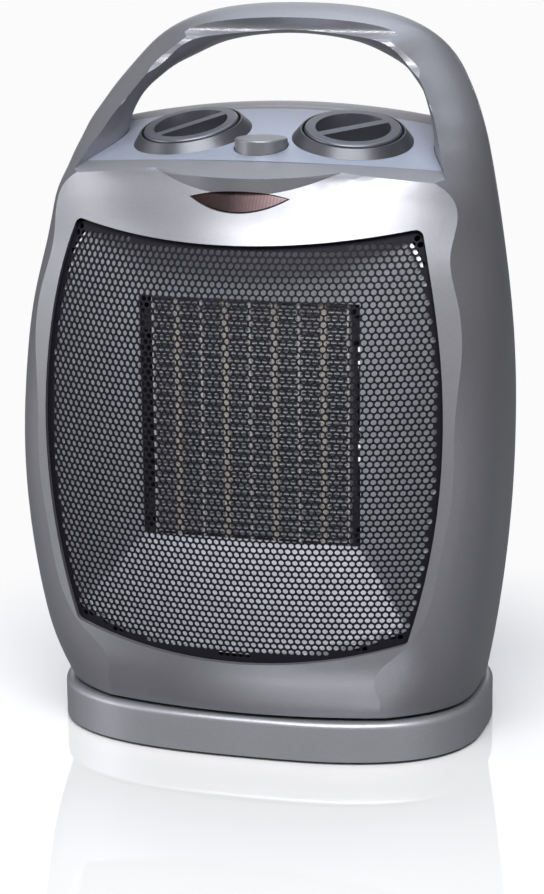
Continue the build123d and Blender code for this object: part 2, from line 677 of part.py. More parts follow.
def reflector_panel(inner_a, inner_b, outer_a, outer_middle, outer_b):
    """Sheet panel from a straight inner edge to a bowed outer edge."""
    inner = Edge.make_line(Vector(*inner_a), Vector(*inner_b))
    outer = Edge.make_three_point_arc(Vector(*outer_a), Vector(*outer_middle), Vector(*outer_b))
    return Solid.extrude(Face.make_surface_from_curves(inner, outer), Vector(0, REFLECTOR_SHEET, 0))


def reflector_panels():
    """Funnel of four panels from the heating core out to the grille."""
    w, y = FRAME_HALF_WIDTH, FRAME_FRONT - REFLECTOR_SHEET
    top, bottom = CORE_TOP, CORE_BOTTOM
    tx, ty, tz = REFLECTOR_TOP
    bx, by, bz = REFLECTOR_BOTTOM
    sx, sy, sz = REFLECTOR_SIDE
    upper = reflector_panel((w, y, top), (-w, y, top), (tx, ty, tz), (0, ty - 0.4, tz + 0.4),
                            (-tx, ty, tz))
    lower = reflector_panel((-w, y, bottom), (w, y, bottom), (-bx, by, bz), (0, by - 4, bz - 4),
                            (bx, by, bz))
    right = reflector_panel((w, y, bottom), (w, y, top), (bx, by, bz), (sx, sy, sz), (tx, ty, tz))
    return upper + lower + right + mirrored(right)


# ---------------------------------------------------------------- controls
def knob_frame(x, y):
    """Point on the roof, normal, and the two directions across it for one knob."""
    point, normal = roof_point(x, y)
    across = (Vector(1, 0, 0) - normal * normal.X).normalized()
    return point, normal, across


def build_knob(x, y):
    """Bezel ring, knob, its shaft, the switch below and two switch screws."""
    point, normal, across = knob_frame(x, y)
    bezel = cone(BEZEL_RADIUS + 1.1, BEZEL_TOP_RADIUS, BEZEL_HEIGHT + 1.5, point - normal * 1.5, normal)
    bezel = one_solid(bezel & above_roof(0))
    bezel = bezel - rod(KNOB_RADIUS + KNOB_GROOVE, 20, point - normal * 5, normal)

    face = KNOB_RISE
    under = face - KNOB_THICKNESS
    knob = rod(KNOB_RADIUS, KNOB_THICKNESS, point + normal * under, normal)
    knob = knob.fillet(1.0, [knob.edges().sort_by_distance(point + normal * (face + 9))[0]])
    cup_foot = point + normal * (face - KNOB_CUP_DEPTH)
    cup = cone(KNOB_CUP_RADIUS - KNOB_CUP_DRAFT, KNOB_CUP_RADIUS, KNOB_CUP_DEPTH, cup_foot, normal)
    grip = Plane(origin=point, x_dir=across, z_dir=normal).rotated((0, 0, 45))
    rib = Solid.make_box(60, KNOB_RIB, 40, grip.offset(-20))
    rib = rib.moved(Location(grip.x_dir * -30 - grip.y_dir * (KNOB_RIB / 2)))
    knob = one_solid(knob - cup) + one_solid(cup & rib)
    hub_end = SWITCH_DEPTH - 2.0
    knob = knob + rod(SHAFT_RADIUS + 2.4, hub_end + under, point - normal * hub_end, normal)
    shaft_top = KNOB_CUP_DEPTH - face + 2.0
    knob = knob - rod(SHAFT_RADIUS, hub_end - shaft_top, point - normal * hub_end, normal)

    shaft_foot = SWITCH_DEPTH + SWITCH_BODY - 3.0
    shaft = rod(SHAFT_RADIUS, shaft_foot - shaft_top, point - normal * shaft_foot, normal)
    plate = Plane(origin=point - normal * (SWITCH_DEPTH + SWITCH_PLATE), x_dir=across, z_dir=normal)
    half_length = SWITCH_EAR + SWITCH_EAR_END
    bracket = Solid.make_box(2 * half_length, 2 * SWITCH_EAR_HALF, SWITCH_PLATE, plate)
    bracket = bracket.moved(Location(plate.x_dir * -half_length - plate.y_dir * SWITCH_EAR_HALF))
    case_depth = SWITCH_BODY - SWITCH_PLATE
    case = Solid.make_box(SWITCH_WIDTH, SWITCH_WIDTH, case_depth, plate.offset(-case_depth))
    case = case.moved(Location((plate.x_dir + plate.y_dir) * (-SWITCH_WIDTH / 2)))
    bore_length = shaft_foot - SWITCH_DEPTH + 1
    bore = rod(SHAFT_RADIUS + SHAFT_FIT, bore_length, point - normal * shaft_foot, normal)
    switch = bracket + case - bore
    screws = []
    for sign in (-1, 1):
        foot = point + across * (sign * SWITCH_EAR) - normal * (SWITCH_DEPTH + SWITCH_PLATE)
        switch = one_solid(switch) - rod(SCREW_RADIUS + 0.2, 4, foot - normal * 1, normal)
        screws.append(screw(foot, normal, SWITCH_PLATE + SCREW_ENGAGE - 1))
    return one_solid(bezel), one_solid(knob), shaft, one_solid(switch), screws


def screw(seat, direction, length):
    """Pan-head screw whose head sits on a seat and whose shank runs along a direction."""
    shank = rod(SCREW_RADIUS, length, seat, direction)
    return shank + rod(SCREW_HEAD, SCREW_HEAD_HEIGHT, seat - direction * SCREW_HEAD_HEIGHT, direction)


def build_controls():
    left, right = [build_knob(x, y) for x, y in KNOB_CENTRES]
    for side, name, switch_name in ((left, "mode", "mode_switch"), (right, "thermostat", "thermostat")):
        save(f"{name}_bezel", side[0])
        save(f"{name}_knob", side[1])
        save(f"{name}_shaft", side[2])
        save(switch_name, side[3])

    # push button for the swing, its plunger, switch and screws
    bottom = BUTTON_TOP - BUTTON_LENGTH
    button = rod(BUTTON_RADIUS, BUTTON_LENGTH, (0, BUTTON_Y, bottom))
    button = button.fillet(0.8, [button.edges().sort_by(Axis.Z)[-1]])
    button = button + rod(BUTTON_RADIUS + 1.2, 1.4, (0, BUTTON_Y, bottom))
    plunger = rod(2.5, 8.5, (0, BUTTON_Y, bottom - 8.5))
    save("push_button", button)
    save("button_plunger", plunger)
    body = block((-8, 8), (BUTTON_Y - 8, BUTTON_Y + 8), (OSC_SWITCH_TOP - 16, OSC_SWITCH_TOP))
    ear_end = BUTTON_EAR + 4
    ears = block((-ear_end, ear_end), (BUTTON_Y - 4, BUTTON_Y + 4), (OSC_SWITCH_TOP - 2, OSC_SWITCH_TOP))
    switch = body + ears - rod(2.5 + SHAFT_FIT, 13, (0, BUTTON_Y, OSC_SWITCH_TOP - 12))
    screws = left[4] + right[4]
    for sign in (-1, 1):
        seat = Vector(sign * BUTTON_EAR, BUTTON_Y, OSC_SWITCH_TOP - 2)
        switch = one_solid(switch) - rod(SCREW_RADIUS, 4, seat - Vector(0, 0, 1))
        shank = rod(SCREW_RADIUS - 0.3, 6, seat)
        screws.append(shank + rod(SCREW_HEAD - 0.6, 1.6, seat - Vector(0, 0, 1.6)))
    save("swing_switch", one_solid(switch))
    save("control_screws", *screws)

    # neon lamp in a holder behind the lens
    lamp_y = front_y(0, LENS_TIP) + LAMP_SETBACK
    lamp = rod(LAMP_RADIUS, 16, (-8, lamp_y, LENS_TIP - 1.5), (1, 0, 0))
    cradle = block((-11, 11), (lamp_y - 2, lamp_y + 5), (LENS_TIP - 7, LENS_TIP - 1.5))
    foot = block((-11, 11), (lamp_y - 20, lamp_y + 5), (LENS_TIP - 10.4, LENS_TIP - 6.6)) & behind_front(WALL)
    holder = cradle + foot
    holder = one_solid(holder - rod(LAMP_RADIUS, 16, (-8, lamp_y, LENS_TIP - 1.5), (1, 0, 0)))
    save("neon_lamp", lamp)
    save("lamp_holder", holder)


# ---------------------------------------------------------------- heating core
def fin_stack(width, y_range):
    """Corrugated strip folded up and down between two side sheets, from x = 0."""
    folds = int((CORE_TOP - CORE_BOTTOM - 2 * FIN_SHEET) / (FIN_PITCH / 2))
    rise = (CORE_TOP - CORE_BOTTOM - 2 * FIN_SHEET) / folds
    sides = (FIN_SIDE, width - FIN_SIDE)
    reach = (width - 2 * FIN_SIDE) * (1 - FIN_SHEET / rise)
    y = y_range[0]
    cells = []
    for i in range(folds - 1):
        foot = CORE_BOTTOM + i * rise
        root = sides[i % 2]
        tip = root + (reach if i % 2 == 0 else -reach)
        corners = [(root, foot + 2 * FIN_SHEET), (tip, foot + rise + FIN_SHEET), (root, foot + 2 * rise)]
        cells.append(Wire.make_polygon([Vector(x, y, z) for x, z in corners]))
    edge = [(0, CORE_BOTTOM), (width, CORE_BOTTOM), (width, CORE_TOP), (0, CORE_TOP)]
    rim = Wire.make_polygon([Vector(x, y, z) for x, z in edge])
    return Solid.extrude(Face(rim, cells), Vector(0, y_range[1] - y, 0))


def build_core():
    """PTC plates between corrugated fins, contact strips, frame, terminals and cut-outs."""
    y_range = (CORE_FRONT, FRAME_REAR - FRAME_PLATE)
    z_range = (CORE_BOTTOM, CORE_TOP)
    unit = 2 * CORE_HALF_WIDTH / PLATE_COUNT
    stack = fin_stack((unit - STRIP_THICKNESS - PLATE_THICKNESS) / 2, y_range)
    fins, plates, strips = [], [], []
    for i in range(PLATE_COUNT + 1):
        x = -CORE_HALF_WIDTH + i * unit
        strip_top = CORE_TOP + FRAME_WALL + (TAB_RISE if i % 2 == 0 else 0)
        strip_x = (x - STRIP_THICKNESS / 2, x + STRIP_THICKNESS / 2)
        strips.append(block(strip_x, y_range, (CORE_BOTTOM, strip_top)))
    for i in range(PLATE_COUNT):
        middle = -CORE_HALF_WIDTH + (i + 0.5) * unit
        plate_x = (middle - PLATE_THICKNESS / 2, middle + PLATE_THICKNESS / 2)
        plates.append(block(plate_x, y_range, z_range))
        start = middle - unit / 2 + STRIP_THICKNESS / 2
        fins.append(Pos(start, 0, 0) * stack)
        fins.append(Pos(plate_x[1], 0, 0) * stack)
    save("ptc_plates", *plates)
    save("fin_stacks", *fins)

    w = FRAME_HALF_WIDTH
    frame = block((-w - FRAME_WALL, w + FRAME_WALL), (FRAME_FRONT, FRAME_REAR),
                  (CORE_BOTTOM - FRAME_WALL, CORE_TOP + FRAME_WALL))
    back_y = (FRAME_REAR - FRAME_PLATE, FRAME_REAR)
    plate = block((-FRAME_PLATE_HALF, FRAME_PLATE_HALF), back_y,
                  (FAN_HEIGHT - FRAME_PLATE_HALF, FAN_HEIGHT + FRAME_PLATE_HALF))
    ear_x = FRAME_BOSSES[0][0] + 3.4
    ears = block((-ear_x, ear_x), back_y, (FRAME_BOSSES[0][1] - 4, FRAME_BOSSES[1][1] + 4))
    frame = frame + plate + ears
    for x, z in SHROUD_SCREWS:
        frame = frame + rod(BOSS_RADIUS, SCREW_ENGAGE, (x, FRAME_REAR - SCREW_ENGAGE, z), (0, 1, 0))
    frame = frame - block((-w, w), (-60, 0), (CORE_BOTTOM, CORE_TOP))
    for i in range(PLATE_COUNT + 1):
        x = -CORE_HALF_WIDTH + i * unit
        strip_x = (x - STRIP_THICKNESS / 2, x + STRIP_THICKNESS / 2)
        frame = frame - block(strip_x, y_range, (CORE_TOP - 1, CORE_TOP + FRAME_WALL + 1))
    for x, z in SHROUD_SCREWS:
        hole_foot = (x, FRAME_REAR - SCREW_ENGAGE + 1, z)
        frame = one_solid(frame) - rod(SCREW_RADIUS, SCREW_ENGAGE - 1, hole_foot, (0, 1, 0))
    for x, z in both_sides(FRAME_BOSSES):
        frame = one_solid(frame) - rod(SCREW_RADIUS + 0.2, 6, (x, FRAME_REAR - 4, z), (0, 1, 0))
    save("heater_frame", one_solid(frame))
    save("contact_strips", *strips)

    # end blocks that hold the stack in the middle of the frame
    blocks = []
    for side in (-1, 1):
        inner_x = CORE_HALF_WIDTH + STRIP_THICKNESS / 2
        low, high = sorted((side * inner_x, side * w))
        for z in (CORE_BOTTOM + 6, CORE_TOP - 14):
            blocks.append(block((low, high), (CORE_FRONT + 4, CORE_FRONT + 12), (z, z + 8)))
    save("core_spacers", *blocks)

    top = CORE_TOP + FRAME_WALL
    cut_out = rod(6.0, 5.5, (24.0, (FRAME_FRONT + FRAME_REAR) / 2 - 1, top))
    fuse = rod(2.0, 13, (-26.0, (FRAME_FRONT + FRAME_REAR) / 2 - 1, top + 2.0), (1, 0, 0))
    save("thermal_cutout", cut_out)
    save("thermal_fuse", fuse)


# ---------------------------------------------------------------- fan
def fan_blade(angle):
    """Twisted blade from the hub to the tip circle."""
    sections = []
    middle_radius = (FAN_HUB_RADIUS + FAN_RADIUS) / 2
    stations = ((FAN_HUB_RADIUS - 2.0, 48, 17.0), (middle_radius, 34, 27.0), (FAN_RADIUS, 24, 33.0))
    for radius, pitch, chord in stations:
        lean = radians(pitch)
        u, v = cos(lean) * chord / 2, sin(lean) * chord / 2
        t = BLADE_THICKNESS / 2
        n = (-sin(lean) * t, cos(lean) * t)
        corners = [(-u - n[0], -v - n[1]), (u - n[0], v - n[1]),
                   (u + n[0], v + n[1]), (-u + n[0], -v + n[1])]
        plane = Plane(origin=(radius, 0, 0), x_dir=(0, 1, 0), z_dir=(1, 0, 0))
        outline = [plane.from_local_coords(Vector(a, b, 0)) for a, b in corners]
        sections.append(Wire.make_polygon(outline))
    blade = Solid.make_loft(sections)
    ring = rod(FAN_RADIUS, 60, (0, 0, -30))
    return one_solid(blade & ring).rotate(Axis.Z, angle)


def radial_bar(x, z, y, start, width):
    """Flat bar from a radius about the fan's axis out to a screw."""
    flat = Plane(origin=(0, y, FAN_HEIGHT), x_dir=(x, 0, z - FAN_HEIGHT), z_dir=(0, 1, 0))
    reach = sqrt(x * x + (z - FAN_HEIGHT) ** 2)
    bar = Solid.make_box(reach - start, width, EAR_THICKNESS, flat)
    return bar.moved(Location(flat.x_dir * start - flat.y_dir * (width / 2)))


def build_fan():
    axis = (0, 1, 0)
    centre = (0, 0, FAN_HEIGHT)
    hub = tube(FAN_HUB_RADIUS, FAN_HUB_RADIUS - 2.0, FAN_DEPTH - 4, (0, 0, -FAN_DEPTH / 2 + 2))
    hub = hub + rod(FAN_HUB_RADIUS, 2.4, (0, 0, FAN_DEPTH / 2 - 4.4))
    hub = hub + rod(MOTOR_SHAFT_RADIUS + 3, FAN_DEPTH - 6, (0, 0, -FAN_DEPTH / 2 + 3))
    for i in range(FAN_BLADES):
        hub = hub + fan_blade(i * 360 / FAN_BLADES)
    hub = one_solid(hub) - rod(MOTOR_SHAFT_RADIUS, FAN_DEPTH - 8, (0, 0, -FAN_DEPTH / 2 - 1))
    middle = FAN_FRONT + FAN_DEPTH / 2
    impeller = hub.rotate(Axis.X, 90).moved(Location((0, middle, FAN_HEIGHT)))
    save("fan_impeller", one_solid(impeller))

    # the hub's bore is open towards the motor, which stands behind the fan
    motor_front = FAN_FRONT + FAN_DEPTH + MOTOR_GAP
    bore_start = middle - FAN_DEPTH / 2 + 9
    shaft_end = motor_front + MOTOR_LENGTH - 3
    shaft = rod(MOTOR_SHAFT_RADIUS, shaft_end - bore_start, (0, bore_start, FAN_HEIGHT), axis)
    save("fan_shaft", shaft)

    shell = SHROUD_WALL
    bore = FAN_RADIUS + FAN_TIP_GAP
    shroud = tube(bore + shell, bore, SHROUD_DEPTH, (0, FRAME_REAR, FAN_HEIGHT), axis)
    ear = BOSS_RADIUS + 1.4
    for x, z in SHROUD_SCREWS:
        shroud = shroud + radial_bar(x, z, FRAME_REAR, bore, 2 * ear)
        shroud = shroud + rod(ear, EAR_THICKNESS, (x, FRAME_REAR, z), axis)
    shroud = one_solid(shroud - rod(bore, 60, (0, FRAME_REAR - 5, FAN_HEIGHT), axis))
    rear = FRAME_REAR + SHROUD_DEPTH
    for x, z in SPIDER_SCREWS:
        shroud = shroud + one_solid(rod(BOSS_RADIUS, 12, (x, rear - 12, z), axis))
    for x, z in SHROUD_SCREWS:
        shroud = one_solid(shroud) - rod(SCREW_RADIUS + 0.2, 6, (x, FRAME_REAR - 1, z), axis)
    for x, z in SPIDER_SCREWS:
        shroud = one_solid(shroud) - rod(SCREW_RADIUS, SCREW_ENGAGE, (x, rear - SCREW_ENGAGE, z), axis)
    save("fan_shroud", one_solid(shroud))

    # spider that carries the motor behind the shroud
    spider = tube(MOTOR_RADIUS + 3.5, MOTOR_RADIUS, SPIDER_DEPTH, (0, rear, FAN_HEIGHT), axis)
    for x, z in SPIDER_SCREWS:
        spider = spider + radial_bar(x, z, rear, MOTOR_RADIUS + 1, 7)
        spider = spider + rod(BOSS_RADIUS + 0.6, EAR_THICKNESS, (x, rear, z), axis)
    spider = one_solid(spider) - rod(MOTOR_RADIUS, 40, (0, rear - 10, FAN_HEIGHT), axis)
    for x, z in SPIDER_SCREWS:
        spider = one_solid(spider) - rod(SCREW_RADIUS + 0.2, 6, (x, rear - 1, z), axis)
    save("motor_bracket", one_solid(spider))

    # motor: two-part can, bearings, stator ring; the rotor turns with the shaft
    wall = 1.0
    front_can = rod(MOTOR_RADIUS, MOTOR_LENGTH - 4, (0, motor_front, FAN_HEIGHT), axis)
    hollow_from = (0, motor_front + BEARING_LENGTH, FAN_HEIGHT)
    front_can = front_can - rod(MOTOR_RADIUS - wall, MOTOR_LENGTH, hollow_from, axis)
    front_can = front_can - rod(BEARING_RADIUS, BEARING_LENGTH + 2, (0, motor_front - 1, FAN_HEIGHT), axis)
    end = motor_front + MOTOR_LENGTH
    end_cap = rod(MOTOR_RADIUS, 4, (0, end - 4, FAN_HEIGHT), axis)
    end_cap = end_cap - rod(BEARING_RADIUS, 6, (0, end - 5, FAN_HEIGHT), axis)
    save("motor_can", one_solid(front_can))
    save("motor_end_cap", one_solid(end_cap))
    bearings = [tube(BEARING_RADIUS, MOTOR_SHAFT_RADIUS + SHAFT_FIT, BEARING_LENGTH, (0, y, FAN_HEIGHT), axis)
                for y in (motor_front, end - 4)]
    save("motor_bearings", *bearings)
    inside = motor_front + BEARING_LENGTH + 1.0
    length = MOTOR_LENGTH - 2 * BEARING_LENGTH - 2.0
    stator = tube(MOTOR_RADIUS - wall, ROTOR_RADIUS + RUN, length, (0, inside, FAN_HEIGHT), axis)
    rotor = tube(ROTOR_RADIUS, MOTOR_SHAFT_RADIUS, length, (0, inside, FAN_HEIGHT), axis)
    save("motor_stator", stator)
    save("motor_rotor", rotor)

    for name, places, seat_y, length in (
            ("shroud_screws", SHROUD_SCREWS, FRAME_REAR + EAR_THICKNESS, SCREW_ENGAGE + 1.0),
            ("bracket_screws", SPIDER_SCREWS, rear + EAR_THICKNESS, SCREW_ENGAGE + 2.0),
            ("frame_screws", both_sides(FRAME_BOSSES), FRAME_REAR, FRAME_PLATE + SCREW_ENGAGE - 3.0)):
        save(name, *[screw(Vector(x, seat_y, z), Vector(0, -1, 0), length) for x, z in places])


# ---------------------------------------------------------------- body floor and swing drive
def flat_screw(foot, length):
    """Countersunk screw driven upwards, its head flush at foot."""
    x, y, z = foot
    return cone(SCREW_HEAD, SCREW_RADIUS, 1.5, foot) + rod(SCREW_RADIUS, length, (x, y, z))


def four_places(places):
    return [(sign * x, y) for x, y in places for sign in (-1, 1)]


def build_floor(floor):
    """Body floor with the bush, the swing motor's posts and the crank pin's arc slot."""
    pin_radius = CRANK_OFFSET * sin(radians(SWING_LIMIT))
    floor = floor - rod(SPINDLE_RADIUS + BUSH_WALL + FIT, 10, (0, 0, BODY_BOTTOM - 3))
    slot_bottom = BODY_BOTTOM - 3
    slot = tube(pin_radius + PIN_RADIUS + 0.3, pin_radius - PIN_RADIUS - 0.3, 10,
                (CRANK_OFFSET, 0, slot_bottom))
    arc = radians(CRANK_LIMIT + 2)
    back_x = CRANK_OFFSET + 60 * cos(arc)
    wedge = Wire.make_polygon([Vector(CRANK_OFFSET, 0, slot_bottom - 1),
                               Vector(back_x, 60 * sin(arc), slot_bottom - 1),
                               Vector(back_x, -60 * sin(arc), slot_bottom - 1)])
    slot = one_solid(slot - Solid.extrude(Face(wedge), Vector(0, 0, 12)))
    for sign in (-1, 1):
        end = (CRANK_OFFSET + pin_radius * cos(arc), sign * pin_radius * sin(arc), slot_bottom)
        slot = slot + rod(PIN_RADIUS + 0.3, 10, end)
    floor = one_solid(floor) - one_solid(slot)
    motor_x = CRANK_OFFSET + SWING_MOTOR_SHIFT
    for sign in (-1, 1):
        floor = floor + rod(BOSS_RADIUS, MOTOR_SEAT - BODY_BOTTOM, (motor_x, sign * MOTOR_EAR, BODY_BOTTOM))
        floor = one_solid(floor) - rod(SCREW_RADIUS, 10, (motor_x, sign * MOTOR_EAR, BODY_BOTTOM + 1))
    floor_screws = []
    for x, y in four_places(FLOOR_BOSSES):
        floor = one_solid(floor) - cone(SCREW_HEAD, SCREW_RADIUS, 1.5, (x, y, BODY_BOTTOM))
        floor = one_solid(floor) - rod(SCREW_RADIUS, 6, (x, y, BODY_BOTTOM - 1))
        floor_screws.append(flat_screw((x, y, BODY_BOTTOM), FLOOR_PLATE + SCREW_ENGAGE))
    save("body_floor", one_solid(floor))
    save("floor_screws", *floor_screws)

    sleeve_bottom = BASE_TOP + 0.9
    sleeve_length = FLOOR_TOP + 1.5 - sleeve_bottom
    bush = tube(SPINDLE_RADIUS + BUSH_WALL, SPINDLE_RADIUS + SHAFT_FIT, sleeve_length, (0, 0, sleeve_bottom))
    bush = bush + tube(BUSH_FLANGE, SPINDLE_RADIUS + SHAFT_FIT, 1.5, (0, 0, FLOOR_TOP))
    save("pivot_bush", one_solid(bush))

    motor = rod(SWING_MOTOR_RADIUS, SWING_MOTOR_HEIGHT, (motor_x, 0, MOTOR_SEAT))
    ears = block((motor_x - 6, motor_x + 6), (-MOTOR_EAR - 5, MOTOR_EAR + 5), (MOTOR_SEAT, MOTOR_SEAT + 1))
    motor = motor + ears - rod(SWING_SHAFT_RADIUS + SHAFT_FIT, 13, (CRANK_OFFSET, 0, MOTOR_SEAT - 1))
    motor_screws = []
    for sign in (-1, 1):
        motor = one_solid(motor) - rod(SCREW_RADIUS + 0.2, 4, (motor_x, sign * MOTOR_EAR, MOTOR_SEAT - 1))
        motor_screws.append(screw(Vector(motor_x, sign * MOTOR_EAR, MOTOR_SEAT + 1), Vector(0, 0, -1), 6))
    save("swing_motor", one_solid(motor))
    save("swing_motor_screws", *motor_screws)

    arm_z = FLOOR_TOP + 0.5
    shaft = rod(SWING_SHAFT_RADIUS, MOTOR_SEAT + 11 - arm_z, (CRANK_OFFSET, 0, arm_z))
    arm = rod(7.0, ARM_THICKNESS, (CRANK_OFFSET, 0, arm_z))
    arm = arm + rod(4.5, ARM_THICKNESS, (CRANK_OFFSET + pin_radius, 0, arm_z))
    arm = arm + block((CRANK_OFFSET, CRANK_OFFSET + pin_radius), (-4.0, 4.0), (arm_z, arm_z + ARM_THICKNESS))
    pin_bottom = BASE_TOP - BASE_WALL + 0.4
    arm = arm + rod(PIN_RADIUS, arm_z - pin_bottom + 1, (CRANK_OFFSET + pin_radius, 0, pin_bottom))
    arm = one_solid(arm) - rod(SWING_SHAFT_RADIUS, 10, (CRANK_OFFSET, 0, arm_z - 3))
    save("crank_shaft", shaft)
    save("crank_arm", one_solid(arm))

    # mains: terminal block on the floor and the inlet bushing in the rear wall
    terminals = block((-55, -25), (13, 27), (FLOOR_TOP, FLOOR_TOP + 12))
    for x in (-49, -40, -31):
        terminals = one_solid(terminals) - rod(1.8, 20, (x, 10, FLOOR_TOP + 4.5), (0, 1, 0))
        terminals = one_solid(terminals) - rod(1.6, 5, (x, 20, FLOOR_TOP + 7.5))
    save("terminal_block", one_solid(terminals))
    wall_y = rear_y(0, GLAND_HEIGHT)
    outer = tube(GLAND_RADIUS, 3.0, 30, (0, wall_y - 12, GLAND_HEIGHT), (0, 1, 0)) & before_rear(0)
    flange = tube(GLAND_RADIUS + 2.5, 3.0, 30, (0, wall_y - 6.5, GLAND_HEIGHT), (0, 1, 0)) & before_rear(WALL)
    save("cord_inlet", one_solid(outer + one_solid(flange)))


# ---------------------------------------------------------------- base
def build_base():
    """Base shell, bottom plate, feet, screws, spindle and the tip-over switch."""
    top = superellipse_solid(0, FLOOR_GAP, BASE_TOP)
    top = top.fillet(BASE_ROUND, top.faces().sort_by(Axis.Z)[-1].edges())
    deck_under = BASE_TOP - BASE_WALL
    shell = top - superellipse_solid(BASE_WALL, FLOOR_GAP - 2, deck_under)
    shell = one_solid(shell) - rod(SPINDLE_RADIUS + SHAFT_FIT, 10, (0, 0, deck_under - 3))
    pin_radius = CRANK_OFFSET * sin(radians(SWING_LIMIT))
    half_slot = PIN_RADIUS + PIN_SLACK
    near_x = CRANK_OFFSET + 0.5
    far_x = CRANK_OFFSET + pin_radius + 0.3
    shell = shell - block((near_x, far_x), (-half_slot, half_slot), (deck_under - 1, BASE_TOP + 1))
    for x in (near_x, far_x):
        shell = one_solid(shell) - rod(half_slot, 8, (x, 0, deck_under - 1))
    plate_top = FLOOR_GAP + BOTTOM_PLATE
    plate = superellipse_solid(BASE_WALL + FIT, FLOOR_GAP, plate_top)
    screws, feet = [], []
    for x, y in four_places(BASE_SCREWS):
        shell = one_solid(shell) + rod(BOSS_RADIUS, deck_under + 0.5 - plate_top, (x, y, plate_top))
        shell = one_solid(shell) - rod(SCREW_RADIUS, SCREW_ENGAGE + 1, (x, y, plate_top))
        plate = plate - rod(SCREW_RADIUS, 6, (x, y, 0))
        plate = plate - cone(SCREW_HEAD, SCREW_RADIUS, 1.5, (x, y, FLOOR_GAP))
        screws.append(flat_screw((x, y, FLOOR_GAP), BOTTOM_PLATE + SCREW_ENGAGE))
    for x, y in four_places(FEET):
        plate = one_solid(plate) - rod(2.5, 6, (x, y, 0))
        foot = rod(FOOT_RADIUS, FLOOR_GAP, (x, y, 0)) + rod(2.5, BOTTOM_PLATE, (x, y, FLOOR_GAP))
        feet.append(one_solid(foot + cone(3.8, 2.6, 1.2, (x, y, plate_top))))
    plate = one_solid(plate) - rod(4.0 + RUN, 6, (TIP_X, 0, 0))
    save("base_shell", one_solid(shell))
    save("base_bottom", one_solid(plate))
    save("base_screws", *screws)
    save("rubber_feet", *feet)

    spindle = rod(SPINDLE_RADIUS, SPINDLE_TOP - deck_under + SPINDLE_FOOT, (0, 0, deck_under - SPINDLE_FOOT))
    spindle = spindle + rod(SPINDLE_FLANGE, SPINDLE_FOOT, (0, 0, deck_under - SPINDLE_FOOT))
    washer_z = FLOOR_TOP + 1.5 + RUN
    clip_z = washer_z + 2.0
    groove = tube(SPINDLE_RADIUS + 3, GROOVE_RADIUS, CLIP_THICKNESS, (0, 0, clip_z))
    spindle = one_solid(spindle) - groove - rod(SPINDLE_BORE, 40, (0, 0, 0))
    save("pivot_spindle", one_solid(spindle))
    save("retaining_washer", tube(BUSH_FLANGE, SPINDLE_RADIUS, 2.0, (0, 0, washer_z)))
    clip = tube(SPINDLE_RADIUS + 2.0, GROOVE_RADIUS, CLIP_THICKNESS, (0, 0, clip_z))
    clip = clip - block((-4, 4), (0, 20), (clip_z - 1, clip_z + 3))
    save("spindle_clip", one_solid(clip))
    save("glide_ring", tube(GLIDE_OUTER, GLIDE_INNER, BODY_GAP - 0.3, (0, 0, BASE_TOP)))

    switch = block((TIP_X - 7, TIP_X + 7), (-10, 10), (plate_top, deck_under - 0.4))
    switch = one_solid(switch) - rod(4.0 + RUN, 8.5, (TIP_X, 0, plate_top - 1))
    save("tip_switch", one_solid(switch))
    plunger = rod(4.0, 7.5, (TIP_X, 0, 0.4))
    plunger = plunger.fillet(1.0, [plunger.edges().sort_by(Axis.Z)[0]])
    save("tip_plunger", plunger)


def build_casing_screws():
    """Screws that draw the rear shell onto the front shell."""
    casing = []
    for x, z in both_sides(CASING_BOSSES):
        seat = Vector(x, seam_at(z) + 7.0, z)
        casing.append(screw(seat, Vector(0, -1, 0), 7.0 + SCREW_ENGAGE))
    save("casing_screws", *casing)


def main():
    build_floor(build_casing())
    build_casing_screws()
    build_controls()
    build_core()
    build_fan()
    build_base()


if __name__ == "__main__":
    main()
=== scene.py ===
"""Ceramic space heater: finishes, perforated grille, folded fins, studio and camera."""
import json
import math

import bpy
import bmesh
import numpy as np
from mathutils import Matrix, Vector
from mathutils.bvhtree import BVHTree


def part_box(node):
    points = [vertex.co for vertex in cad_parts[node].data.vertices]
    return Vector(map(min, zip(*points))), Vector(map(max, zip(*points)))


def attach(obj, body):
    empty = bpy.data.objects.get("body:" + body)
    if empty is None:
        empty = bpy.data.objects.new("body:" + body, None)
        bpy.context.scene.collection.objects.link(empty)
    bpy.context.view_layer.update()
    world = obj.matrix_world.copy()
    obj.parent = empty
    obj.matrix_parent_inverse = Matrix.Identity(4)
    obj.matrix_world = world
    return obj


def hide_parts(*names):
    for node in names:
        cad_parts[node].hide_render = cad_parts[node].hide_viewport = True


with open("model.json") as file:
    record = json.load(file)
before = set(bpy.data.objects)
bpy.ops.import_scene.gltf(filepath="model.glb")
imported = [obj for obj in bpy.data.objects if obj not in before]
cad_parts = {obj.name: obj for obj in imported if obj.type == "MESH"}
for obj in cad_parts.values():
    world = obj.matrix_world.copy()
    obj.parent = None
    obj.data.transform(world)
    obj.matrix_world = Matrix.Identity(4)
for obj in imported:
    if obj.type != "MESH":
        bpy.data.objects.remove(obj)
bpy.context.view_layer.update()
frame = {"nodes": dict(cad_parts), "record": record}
nodes = frame["nodes"]
scene = bpy.context.scene
MM = 0.001


# ---------------------------------------------------------------- node helpers
def new_group(name, inputs, outputs):
    """Empty shader node group with typed sockets."""
    group = bpy.data.node_groups.new(name, "ShaderNodeTree")
    for label, kind, value in inputs:
        socket = group.interface.new_socket(label, in_out="INPUT", socket_type=kind)
        socket.default_value = value
    for label, kind in outputs:
        group.interface.new_socket(label, in_out="OUTPUT", socket_type=kind)
    start = group.nodes.new("NodeGroupInput")
    end = group.nodes.new("NodeGroupOutput")
    return group, start, end


